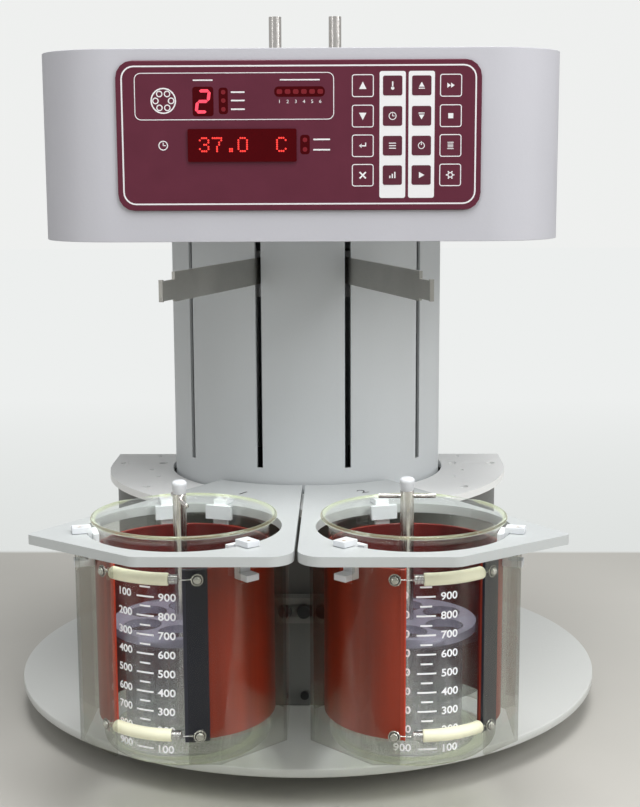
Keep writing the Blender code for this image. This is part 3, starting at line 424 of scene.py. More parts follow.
@dataclass(frozen=True)
class BrushedSteel(Finish):
    """Plain stainless steel with drawn or brushed grain along one axis."""

    stretch: Triple = (1.0, 1.0, 0.02)
    depth: float = 0.00004
    tones: ClassVar[Pair] = (0.90, 1.04)
    grain_waves: ClassVar[float] = 2600.0
    stain_waves: ClassVar[float] = 35.0
    swing: ClassVar[float] = 0.22
    stain_swing: ClassVar[float] = 0.08
    relief: ClassVar[float] = 0.5

    def dress(self, tree: ShaderTree) -> None:
        """Fills the finish's node tree.

        Args:
            tree: the material's node tree.
        """
        grain = tree.noise(self.grain_waves, detail=3.0, stretch=self.stretch)
        stain = tree.noise(self.stain_waves, detail=4.0)
        shader = tree.principled(
            Base_Color=self.toned(tree, stain),
            Metallic=1.0,
            Roughness=self.rough(grain, self.swing) + (stain - 0.5) * self.stain_swing,
            Normal=tree.bump(grain, self.depth, self.relief),
        )
        tree.close(shader)


@dataclass(frozen=True)
class MouldedPlastic(Finish):
    """Plain moulded or turned plastic: faint mottling and a soft grain."""

    grain: float = 0.00004
    coat: float = 0.0
    shine: float = 0.5
    tones: ClassVar[Pair] = (0.94, 1.03)
    mottle_waves: ClassVar[float] = 70.0
    grain_waves: ClassVar[float] = 1800.0
    swing: ClassVar[float] = 0.12
    relief: ClassVar[float] = 0.4

    def dress(self, tree: ShaderTree) -> None:
        """Fills the finish's node tree.

        Args:
            tree: the material's node tree.
        """
        mottle = tree.noise(self.mottle_waves)
        fine = tree.noise(self.grain_waves, detail=2.0)
        shader = tree.principled(
            Base_Color=self.toned(tree, mottle),
            Roughness=self.rough(mottle, self.swing),
            Normal=tree.bump(fine, self.grain, self.relief),
            Coat_Weight=self.coat,
            Specular_IOR_Level=self.shine,
        )
        tree.close(shader)


@dataclass(frozen=True)
class HeaterSilicone(Finish):
    """Brick red silicone rubber under a glossy skin, with upright streaks and pressed wires, and broad
    upright bands of painted reflection, lighter and darker.
    """

    streak: float = 0.00025
    coat: float = 0.5
    shine: float = 0.3
    # The wide span of tones is partly painted reflection: the broad bands use it for light and dark streaks.
    tones: ClassVar[Pair] = (0.50, 1.25)
    spread: ClassVar[Pair] = (0.36, 0.64)
    streak_waves: ClassVar[float] = 120.0
    band_waves: ClassVar[float] = 46.0
    blotch_waves: ClassVar[float] = 22.0
    fine_waves: ClassVar[float] = 900.0
    streak_stretch: ClassVar[Triple] = (1.0, 1.0, 0.05)
    band_stretch: ClassVar[Triple] = (1.0, 1.0, 0.04)
    blotch_stretch: ClassVar[Triple] = (1.0, 1.0, 0.5)
    streak_share: ClassVar[float] = 0.3
    band_share: ClassVar[float] = 0.5
    blotch_share: ClassVar[float] = 0.2
    fine_share: ClassVar[float] = 0.1
    swing: ClassVar[float] = 0.18
    relief: ClassVar[float] = 0.5
    coat_roughness: ClassVar[float] = 0.07

    def dress(self, tree: ShaderTree) -> None:
        """Fills the finish's node tree.

        Args:
            tree: the material's node tree.
        """
        streaks = tree.noise(self.streak_waves, detail=3.0, stretch=self.streak_stretch)
        # Painted reflection: broad upright bands, lighter and darker, standing in for the glossy skin's
        # streaked reflections.
        painted_reflections = tree.noise(self.band_waves, detail=2.0, stretch=self.band_stretch)
        blotch = tree.noise(self.blotch_waves, detail=4.0, stretch=self.blotch_stretch)
        fine = tree.noise(self.fine_waves, detail=2.0)
        pattern = streaks * self.streak_share + blotch * self.blotch_share + painted_reflections * self.band_share
        shader = tree.principled(
            Base_Color=self.toned(tree, pattern),
            Roughness=self.rough(fine, self.swing),
            Normal=tree.bump(streaks + fine * self.fine_share, self.streak, self.relief),
            Coat_Weight=self.coat,
            Coat_Roughness=self.coat_roughness,
            Specular_IOR_Level=self.shine,
        )
        tree.close(shader)


@dataclass(frozen=True)
class LabGlass(Finish):
    """Clear laboratory glass, yellow green where one looks along its thick rim and foot, with a painted glow
    on its rim and a weaker one on its foot.

    Heights are those of the beakers as they hang in the station plates.
    """

    ior: float = 1.47
    tint: Colour = (0.975, 0.985, 0.975)
    edge_colour: Colour = srgb(226, 236, 190)
    foot_height: float = 0.0492
    foot_fade: float = 0.0012
    rim_height: float = 0.1888
    rim_fade: float = 0.0008
    straight: float = 0.90
    edge_loss: float = 0.5
    milk: float = 0.05
    # The rim glows in the edge colour though the glass is no lamp: a painted highlight, weaker on the foot.
    rim_glow: float = 0.2
    foot_glow_share: float = 0.2
    smudge_waves: ClassVar[float] = 60.0
    smudge_spread: ClassVar[Pair] = (0.55, 0.8)
    smudge: ClassVar[float] = 0.03

    def dress(self, tree: ShaderTree) -> None:
        """Fills the finish's node tree.

        Args:
            tree: the material's node tree.
        """
        height = tree.place("Z")
        foot = tree.ramp(height, self.foot_height + self.foot_fade, self.foot_height)
        rim = tree.ramp(height, self.rim_height, self.rim_height + self.rim_fade)
        thick = foot + rim
        smudges = tree.ramp(tree.noise(self.smudge_waves, detail=4.0), *self.smudge_spread)
        # Painted highlight: a glow on the rim, and a share of it on the foot.
        lit = rim + foot * self.foot_glow_share
        shader = tree.principled(
            Base_Color=tree.blend(thick, self.colour, self.edge_colour),
            Roughness=self.roughness + smudges * self.smudge,
            Transmission_Weight=1.0 - self.milk,
            IOR=self.ior,
            Emission_Color=tree.blend(lit, NO_LIGHT, self.edge_colour),
            Emission_Strength=self.rim_glow,
        )
        tree.close_clear(shader, self.tint, self.straight - thick * self.edge_loss)


@dataclass(frozen=True)
class ClearPlastic(Finish):
    """Clear or tinted sheet plastic with light scuffs."""

    ior: float = 1.49
    tint: Colour = (0.865, 0.868, 0.845)
    haze: float = 0.04
    straight: float = 0.9
    milk: float = 0.0
    tones: ClassVar[Pair] = (0.93, 1.05)
    cloud_waves: ClassVar[float] = 18.0
    scuff_waves: ClassVar[float] = 240.0
    scuff_stretch: ClassVar[Triple] = (1.0, 1.0, 0.12)
    scuff_spread: ClassVar[Pair] = (0.55, 0.85)

    def dress(self, tree: ShaderTree) -> None:
        """Fills the finish's node tree.

        Args:
            tree: the material's node tree.
        """
        scuffs = tree.noise(self.scuff_waves, detail=4.0, stretch=self.scuff_stretch)
        shader = tree.principled(
            Base_Color=self.toned(tree, tree.noise(self.cloud_waves)),
            Roughness=self.roughness + tree.ramp(scuffs, *self.scuff_spread) * self.haze,
            Transmission_Weight=1.0 - self.milk,
            IOR=self.ior,
        )
        tree.close_clear(shader, self.tint, self.straight)


@dataclass(frozen=True)
class PrintedInk(Finish):
    """Screen-printed ink: nearly even, with the faint tooth of the screen, and where asked a painted glow,
    though ink is no lamp.
    """

    glow: float = 0.0
    tones: ClassVar[Pair] = (0.95, 1.02)
    spread: ClassVar[Pair] = (0.0, 1.0)
    tooth_waves: ClassVar[float] = 2500.0
    swing: ClassVar[float] = 0.1

    def dress(self, tree: ShaderTree) -> None:
        """Fills the finish's node tree.

        Args:
            tree: the material's node tree.
        """
        tooth = tree.noise(self.tooth_waves, detail=1.0)
        shader = tree.principled(
            Base_Color=self.toned(tree, tooth),
            Roughness=self.rough(tooth, self.swing),
            # Painted light: the ink glows in its own colour though it is no lamp.
            Emission_Color=self.colour,
            Emission_Strength=self.glow,
        )
        tree.close(shader)


@dataclass(frozen=True)
class LitLamp(Finish):
    """A lamp or lit segment behind red film, brighter in its middle."""

    strength: float = 1.0
    film: Colour = srgb(60, 4, 10)
    tones: ClassVar[Pair] = (0.82, 1.08)
    spread: ClassVar[Pair] = (0.25, 0.75)
    glow_waves: ClassVar[float] = 500.0

    def dress(self, tree: ShaderTree) -> None:
        """Fills the finish's node tree.

        Args:
            tree: the material's node tree.
        """
        shader = tree.principled(
            Base_Color=self.film,
            Roughness=self.roughness,
            Emission_Color=self.toned(tree, tree.noise(self.glow_waves, detail=2.0)),
            Emission_Strength=self.strength,
        )
        tree.close(shader)


@dataclass(frozen=True)
class CircuitBoard(Finish):
    """Green solder mask with lighter copper tracks under it."""

    track_waves: float = 160.0
    track_gap: float = 0.08
    track_tone: float = 1.8
    coat: float = 0.3

    def dress(self, tree: ShaderTree) -> None:
        """Fills the finish's node tree.

        Args:
            tree: the material's node tree.
        """
        where = tree.node("ShaderNodeTexCoord", result="Object")
        values = {"Vector": where, "Scale": self.track_waves, "Mortar Size": self.track_gap}
        bricks = tree.node("ShaderNodeTexBrick", {"offset": 0.5}, values, "Fac")
        shader = tree.principled(
            Base_Color=tree.blend(bricks, self.colour, self.shade(self.track_tone)),
            Roughness=self.roughness,
            Coat_Weight=self.coat,
        )
        tree.close(shader)


HEAD_PAINT = PaintedSheet("head_paint", srgb(198, 198, 205), 0.42)
COLUMN_PAINT = PaintedSheet("column_paint", srgb(207, 211, 213), 0.42)
PLATE_PAINT = PaintedSheet("plate_paint", srgb(195, 199, 199), 0.38)
DISC_PAINT = PaintedSheet("disc_paint", srgb(203, 205, 202), 0.40)
DECK_PAINT = PaintedSheet("deck_paint", srgb(244, 245, 244), 0.45)
HOUSING_PAINT = PaintedSheet("housing_paint", srgb(106, 107, 105), 0.45)
ROD_STEEL = BrushedSteel("rod_steel", srgb(224, 220, 216), 0.24)
ARM_STEEL = BrushedSteel("arm_steel", srgb(172, 171, 166), 0.34, stretch=(0.05, 0.05, 1.0), depth=0.00006)
SCREEN_STEEL = BrushedSteel("screen_steel", srgb(190, 188, 184), 0.32, stretch=(1.0, 1.0, 1.0))
BOLT_STEEL = BrushedSteel("bolt_steel", srgb(226, 226, 224), 0.16, stretch=(1.0, 1.0, 1.0), depth=0.00002)
MILLED = BrushedSteel("milled_aluminium", srgb(196, 197, 199), 0.40, stretch=(1.0, 0.05, 1.0))
BRASS = BrushedSteel("screw_brass", srgb(206, 170, 96), 0.35, stretch=(1.0, 1.0, 1.0), depth=0.00002)
NYLON = MouldedPlastic("white_nylon", srgb(233, 236, 240), 0.38)
SLEEVE_IVORY = MouldedPlastic("sleeve_ivory", srgb(250, 249, 220), 0.42)
SOCKET_GREY = MouldedPlastic("socket_grey", srgb(132, 132, 128), 0.5)
BLACK_PLASTIC = MouldedPlastic("black_plastic", srgb(30, 30, 32), 0.45)
STRIP_NAVY = MouldedPlastic("strip_navy", srgb(26, 28, 44), 0.42, grain=0.00008, coat=0.25)
RUBBER = MouldedPlastic("black_rubber", srgb(28, 28, 28), 0.8, grain=0.0001)
PANEL_FILM = MouldedPlastic("maroon_film", srgb(96, 38, 56), 0.34, grain=0.00002, coat=0.1, shine=0.35)
KEY_FILM = MouldedPlastic("key_film", srgb(92, 40, 56), 0.32, grain=0.00002, coat=0.1, shine=0.35)
WINDOW_FILM = MouldedPlastic("window_film", srgb(76, 4, 10), 0.22, grain=0.00001, coat=0.0, shine=0.1)
LAMP_WELL = MouldedPlastic("lamp_well", srgb(72, 6, 12), 0.25, grain=0.00001, coat=0.0, shine=0.1)
SILICONE = HeaterSilicone("heater_silicone", srgb(164, 54, 31), 0.38)
LINER_SILICONE = HeaterSilicone(
    "liner_silicone", srgb(96, 26, 23), 0.5, streak=0.00025, coat=0.05, shine=0.1
)
CUT_EDGE = MouldedPlastic("silicone_edge", srgb(196, 58, 26), 0.45, grain=0.00006)
GLASS = LabGlass("lab_glass", (0.975, 0.985, 0.98), 0.0)
SMOKE = ClearPlastic("smoke_sheet", srgb(226, 228, 220), 0.02)
ACRYLIC = ClearPlastic(
    "tube_acrylic", srgb(240, 240, 246), 0.04,
    ior=1.47, tint=(0.95, 0.95, 0.96), haze=0.05, straight=0.82, milk=0.18,
)
PLUM_ACRYLIC = ClearPlastic(
    "plate_acrylic", srgb(164, 161, 178), 0.12,
    ior=1.42, tint=(0.86, 0.85, 0.90), haze=0.10, straight=0.26, milk=0.82,
)
WHITE_INK = PrintedInk("white_ink", srgb(240, 240, 242), 0.45)
BLACK_INK = PrintedInk("black_ink", srgb(38, 38, 40), 0.5)
# The scale's ink glows a little: painted light, for it is no lamp.
SCALE_INK = PrintedInk("scale_ink", srgb(245, 245, 248), 0.6, glow=0.18)
DIGIT_RED = LitLamp("digit_red", srgb(255, 74, 96), 0.4, strength=1.5)
DOT_RED = LitLamp("dot_red", srgb(255, 60, 52), 0.4, strength=1.6)
DIM_RED = LitLamp("dim_red", srgb(150, 14, 34), 0.4, strength=0.5)
BOARD_GREEN = CircuitBoard("board_green", srgb(26, 84, 48), 0.45)


# Shapes


@dataclass
class Shape:
    """Points and faces on the way to a mesh."""

    points: Array
    faces: list[list[int]]

    def turned(self, matrix: Matrix) -> "Shape":
        """The shape after a turn or move by a 4x4 matrix."""
        values = np.array(matrix)
        return Shape(self.points @ values[:3, :3].T + values[:3, 3], self.faces)

    def spun(self, angle: float) -> "Shape":
        """The shape turned about Z, by an angle in degrees."""
        return self.turned(Matrix.Rotation(math.radians(angle), 4, "Z"))

    def moved(self, x: float = 0.0, y: float = 0.0, z: float = 0.0) -> "Shape":
        """The shape moved along the axes."""
        return Shape(self.points + np.array([x, y, z]), self.faces)

    def scaled(self, x: float, y: float, z: float = 1.0) -> "Shape":
        """The shape stretched along the axes."""
        return Shape(self.points * np.array([x, y, z]), self.faces)


def gather(shapes: Iterable[Shape]) -> Shape:
    """Joins many shapes into one.

    Args:
        shapes: the shapes.

    Returns:
        A shape with all their points and faces.
    """
    every = list(shapes)
    starts = np.cumsum([0] + [len(shape.points) for shape in every])
    faces = [
        [index + int(start) for index in face]
        for shape, start in zip(every, starts)
        for face in shape.faces
    ]
    return Shape(np.vstack([shape.points for shape in every]), faces)


def grid(points: Array, close_u: bool, close_v: bool, caps: bool = False) -> Shape:
    """Faces over a grid of points.

    The face at row i and column j joins the points (i, j), (i + 1, j), (i + 1, j + 1) and
    (i, j + 1), counted round where a direction is closed.

    Args:
        points: array of rows by columns by three.
        close_u: whether the last row joins the first.
        close_v: whether the last column joins the first.
        caps: whether the first and last row are filled by one face each.

    Returns:
        The shape.
    """
    rows, columns = points.shape[:2]
    u = np.arange(rows if close_u else rows - 1)
    v = np.arange(columns if close_v else columns - 1)
    i, j = np.meshgrid(u, v, indexing="ij")
    i, j = i.ravel(), j.ravel()
    k, m = (i + 1) % rows, (j + 1) % columns
    quads = np.stack([i * columns + j, k * columns + j, k * columns + m, i * columns + m], 1)
    faces = quads.tolist()
    if caps:
        faces.append(list(range(columns))[::-1])
        faces.append([(rows - 1) * columns + index for index in range(columns)])
    return Shape(points.reshape(-1, 3), faces)


def full_turn(steps: int) -> Array:
    """Angles of a full turn in radians, evenly spaced, without the last that meets the first."""
    return np.linspace(0.0, 2 * np.pi, steps, endpoint=False)


def circle(radius: float, steps: int, x: float = 0.0, y: float = 0.0) -> Array:
    """Points (x + r cos t, y + r sin t) of a full turn."""
    angle = full_turn(steps)
    return np.stack([x + radius * np.cos(angle), y + radius * np.sin(angle)], 1)


def arc(centre: Pair, radii: Pair, start: float, end: float, steps: int) -> Array:
    """Points (x + a cos t, y + b sin t) of an arc, both ends included.

    Args:
        centre: x and y of the arc's centre.
        radii: a and b, the radius along each axis.
        start: first angle t, in degrees.
        end: last angle t, in degrees.
        steps: how many pieces the arc is cut into.

    Returns:
        Points, steps + 1 by two.
    """
    turn = np.radians(np.linspace(start, end, steps + 1))
    return np.stack([centre[0] + radii[0] * np.cos(turn), centre[1] + radii[1] * np.sin(turn)], 1)


def carried(section: Section, angle: Array) -> Array:
    """Carries a section of (r, h) points about Z: x = r cos t, y = r sin t, z = h.

    Args:
        section: the section's points.
        angle: the angles t, in radians.

    Returns:
        A grid of points with a row for each angle.
    """
    radius, height = np.array(section).T
    angle = angle[:, None]
    return np.stack([radius * np.cos(angle), radius * np.sin(angle), height + 0 * angle], axis=-1)


def wall_section(inner: float, outer: float, low: float, high: float, soft: float) -> Section:
    """The section of a wall, a rectangle of (r, h) points with corners cut by soft."""
    return [(outer, low + soft), (outer, high - soft), (outer - soft, high), (inner + soft, high),
            (inner, high - soft), (inner, low + soft), (inner + soft, low), (outer - soft, low)]


def lathe(profile: Section, steps: int) -> Shape:
    """Turns a profile of (r, h) points about Z, in a full turn of some steps."""
    return grid(carried(profile, full_turn(steps)), True, False)


def pipe(inner: float, outer: float, low: float, high: float, steps: int) -> Shape:
    """A tube about Z with a wall, in a full turn of some steps."""
    return grid(carried(wall_section(inner, outer, low, high, 0.0), full_turn(steps)), True, True)


def curved_plate(radii: Pair, angles: Pair, heights: Pair, steps: int, soft: float = 0.0) -> Shape:
    """Part of a tube wall: the section of the wall carried between two angles, ends filled.

    Args:
        radii: inner and outer radius.
        angles: start and end in degrees, counted from -Y towards +X.
        heights: bottom and top.
        steps: how many pieces the arc is cut into.
        soft: how much is cut off the section's corners.

    Returns:
        The shape.
    """
    turn = np.radians(np.linspace(*angles, steps + 1) - 90.0)
    return grid(carried(wall_section(*radii, *heights, soft), turn), False, True, caps=True)


def tube(path: Array, radius: float, sides: int, reference: Array) -> Shape:
    """A round wire along a path.

    Each point p gets a ring p + r (n cos a + b sin a), where b is the tangent crossed with the
    reference direction and n is b crossed with the tangent.

    Args:
        path: points, n by three.
        radius: the wire's radius.
        sides: points in a ring.
        reference: a direction that the path never takes.

    Returns:
        The closed wire.
    """
    tangent = np.gradient(path, axis=0)
    tangent /= np.linalg.norm(tangent, axis=1, keepdims=True)
    second = np.cross(tangent, np.broadcast_to(reference, path.shape))
    second /= np.linalg.norm(second, axis=1, keepdims=True)
    first = np.cross(second, tangent)
    angle = full_turn(sides)[None, :, None]
    rings = path[:, None] + radius * (first[:, None] * np.cos(angle) + second[:, None] * np.sin(angle))
    return grid(rings, False, True, caps=True)


def wire_ring(radius: float, wire: float, steps: int, sides: int) -> Shape:
    """A ring of wire about Z: the points (R + r cos a, r sin a) carried in a full turn."""
    section = circle(wire, sides, radius)
    return grid(carried(section, full_turn(steps)), True, True)


def rounded_outline(width: float, height: float, radius: float, steps: int = 6) -> Array:
    """A rectangle about the origin with round corners, run through anticlockwise.

    Args:
        width: its width.
        height: its height.
        radius: radius of its corners.
        steps: how many pieces each corner is cut into.

    Returns:
        Points, n by two.
    """
    corner = np.array([[1, -1], [1, 1], [-1, 1], [-1, -1]], float)
    centre = corner * (np.array([width, height]) / 2 - radius)
    start = np.radians([-90.0, 0.0, 90.0, 180.0])[:, None]
    angle = start + np.linspace(0.0, np.pi / 2, steps + 1)[None]
    arcs = centre[:, None] + radius * np.stack([np.cos(angle), np.sin(angle)], -1)
    return arcs.reshape(-1, 2)


def flat(outline: Array | Section, thickness: float) -> Shape:
    """A thin plate: an outline at z 0, the same at z equal to the thickness, and a wall between.

    Args:
        outline: points of the outline, run through anticlockwise.
        thickness: thickness of the plate.

    Returns:
        The plate.
    """
    points = np.array(outline, float)
    rings = [np.column_stack([points, np.full(len(points), level)]) for level in (0.0, thickness)]
    return grid(np.stack(rings), False, True, caps=True)


def flat_ring(outer: Array, inner: Array, thickness: float) -> Shape:
    """A thin frame: a rectangle between two outlines, carried round them.

    Args:
        outer: points of the outer outline.
        inner: as many points of the inner one.
        thickness: thickness of the frame.

    Returns:
        The frame.
    """
    levels = [(inner, 0.0), (outer, 0.0), (outer, thickness), (inner, thickness)]
    rings = [np.column_stack([line, np.full(len(line), level)]) for line, level in levels]
    return grid(np.stack(rings, 1), True, True)


def standing_out(shape: Shape, radius: float, height: float) -> Shape:
    """Lays a shape's Z axis along -Y, at a radius and a height."""
    turn = Matrix.Rotation(math.radians(90.0), 4, "X")
    return shape.turned(Matrix.Translation((0.0, -radius, height)) @ turn)


def wrapped(shape: Shape, radius: float, height: float) -> Shape:
    """Wraps a flat shape round a cylinder: x becomes arc length, y height and z distance out.

    Args:
        shape: the flat shape.
        radius: the cylinder's radius.
        height: height of the shape's origin.

    Returns:
        The bent shape, about the cylinder's -Y side.
    """
    x, y, z = shape.points.T
    angle = x / radius
    reach = radius + z
    points = np.stack([reach * np.sin(angle), -reach * np.cos(angle), height + y], 1)
    return Shape(points, shape.faces)


def lettering(
    text: str, height: float, width_share: float, thickness: float, weight: float = 0.0
) -> Shape:
    """Figures as a thin plate in the XY plane, centred on the origin.

    Args:
        text: what it reads.
        height: height of the figures.
        width_share: how wide the figures are, against the plain ones.
        thickness: thickness of the plate.
        weight: how far the strokes are swollen, as a share of the font's size.

    Returns:
        The shape.
    """
    curve = bpy.data.curves.new("figures", "FONT")
    curve.body = text
    curve.extrude = FIGURE_EXTRUSION
    curve.offset = weight
    curve.resolution_u = FIGURE_SMOOTHNESS
    made = bpy.data.objects.new("figures", curve)
    bpy.context.scene.collection.objects.link(made)
    bpy.context.view_layer.update()
    graph = bpy.context.evaluated_depsgraph_get()
    mesh = bpy.data.meshes.new_from_object(made.evaluated_get(graph))
    points = np.empty(len(mesh.vertices) * 3)
    mesh.vertices.foreach_get("co", points)
    points = points.reshape(-1, 3)
    faces = [list(face.vertices) for face in mesh.polygons]
    bpy.data.objects.remove(made, do_unlink=True)
    bpy.data.curves.remove(curve)
    bpy.data.meshes.remove(mesh)
    low, high = points.min(0), points.max(0)
    scale = height / (high[1] - low[1])
    shape = Shape(points - (low + high) / 2, faces)
    return shape.scaled(scale * width_share, scale, thickness / (high[2] - low[2]))


# Pieces


class Workshop:
    """Makes pieces out of shapes and CAD nodes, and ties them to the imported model."""

    def __init__(self, frame: dict[str, Any]) -> None:
        """Reads which body and finish slot each CAD node has.
        """
        self.nodes: dict[str, bpy.types.Object] = frame["nodes"]
        record = frame["record"]
        bodies = record["behaviour"]["bodies"]
        self.body = {node: body for body, nodes in bodies.items() for node in nodes}
        self.slot = {entry["node"]: entry["material_slot"] for entry in record["subparts"]}

    def piece(self, name: str, shape: Shape, finish: Finish, node: str,
              smooth: float = 35.0, replace: bool = False) -> None:
        """Makes a piece out of a shape.

        Args:
            name: the piece's name.
            shape: its points and faces.
            finish: its finish.
            node: the CAD node that it sits on, whose body it takes.
            smooth: edges sharper than this angle, in degrees, stay sharp.
            replace: whether the piece stands for the node.
        """
        mesh = bpy.data.meshes.new(name)
        mesh.from_pydata(shape.points.tolist(), [], shape.faces)
        self._clean(mesh, smooth, True)
        self._tie(bpy.data.objects.new(name, mesh), finish, node, replace)

    def skin(self, node: str, finish: Finish, smooth: float = 30.0) -> None:
        """Makes a smooth-shaded copy of a CAD node and lets it stand for the node.

        Args:
            node: the CAD node.
            finish: the copy's finish.
            smooth: edges sharper than this angle, in degrees, stay sharp.
        """
        mesh = self.nodes[node].data.copy()
        mesh.name = f"{node}_skin"
        self._clean(mesh, smooth, False)
        made = bpy.data.objects.new(f"{node}_skin", mesh)
        self._tie(made, finish, node, True)
        weighted = made.modifiers.new("weighted", "WEIGHTED_NORMAL")
        weighted.keep_sharp = True
        weighted.weight = STRONG_FACE_WEIGHT

    def keep(self, node: str, finish: Finish) -> None:
        """Leaves a CAD node as it is, with a better material.

        Args:
            node: the CAD node.
            finish: its finish.
        """
        mesh = self.nodes[node].data
        mesh.materials.clear()
        mesh.materials.append(finish.material())
        LOG.info("kept %s with %s", node, finish.name)

    @staticmethod
    def _clean(mesh: bpy.types.Mesh, smooth: float, turn: bool) -> None:
        """Merges doubles, points faces outwards where asked, and shades by angle.

        Args:
            mesh: the mesh.
            smooth: edges sharper than this angle, in degrees, stay sharp.
            turn: whether the faces are pointed outwards.
        """
        work = bmesh.new()
        work.from_mesh(mesh)
        bmesh.ops.remove_doubles(work, verts=work.verts, dist=MERGE_DISTANCE)
        if turn:
            bmesh.ops.recalc_face_normals(work, faces=work.faces)
        work.to_mesh(mesh)
        work.free()
        mesh.shade_smooth()
        mesh.set_sharp_from_angle(angle=math.radians(smooth))

    def _tie(self, made: bpy.types.Object, finish: Finish, node: str, replace: bool) -> None:
        """Links an object, gives it its finish and ties it to a node's body.

        Args:
            made: the object.
            finish: its finish.
            node: the CAD node whose body it takes.
            replace: whether the object stands for the node.
        """
        bpy.context.scene.collection.objects.link(made)
        made.data.materials.clear()
        made.data.materials.append(finish.material())
        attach(made, self.body[node])
        if replace:
            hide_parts(node)
        LOG.info("made %s with %s", made.name, finish.name)


# The machine


@dataclass(frozen=True)
class Layout:
    """Where the column and the stations stand."""

    axis_y: float = 0.035
    station_angle: float = 18.0
    station_reach: float = 0.229

    def centre(self, side: Side) -> Pair:
        """A station's centre in plan.

        Args:
            side: the station.

        Returns:
            Its x and y.
        """
        turn = math.radians(self.station_angle)
        x = side.value * self.station_reach * math.sin(turn)
        return x, self.axis_y - self.station_reach * math.cos(turn)

    def on_station(self, side: Side, shape: Shape, angle: float = 0.0) -> Shape:
        """Puts a shape drawn about Z, with -Y outwards, onto a station at one of its angles."""
        x, y = self.centre(side)
        return shape.spun(side.value * self.station_angle + angle).moved(x, y)

    def on_column(self, shape: Shape) -> Shape:
        """Puts a shape drawn about Z, with -Y outwards, onto the column."""
        return shape.moved(0.0, self.axis_y)


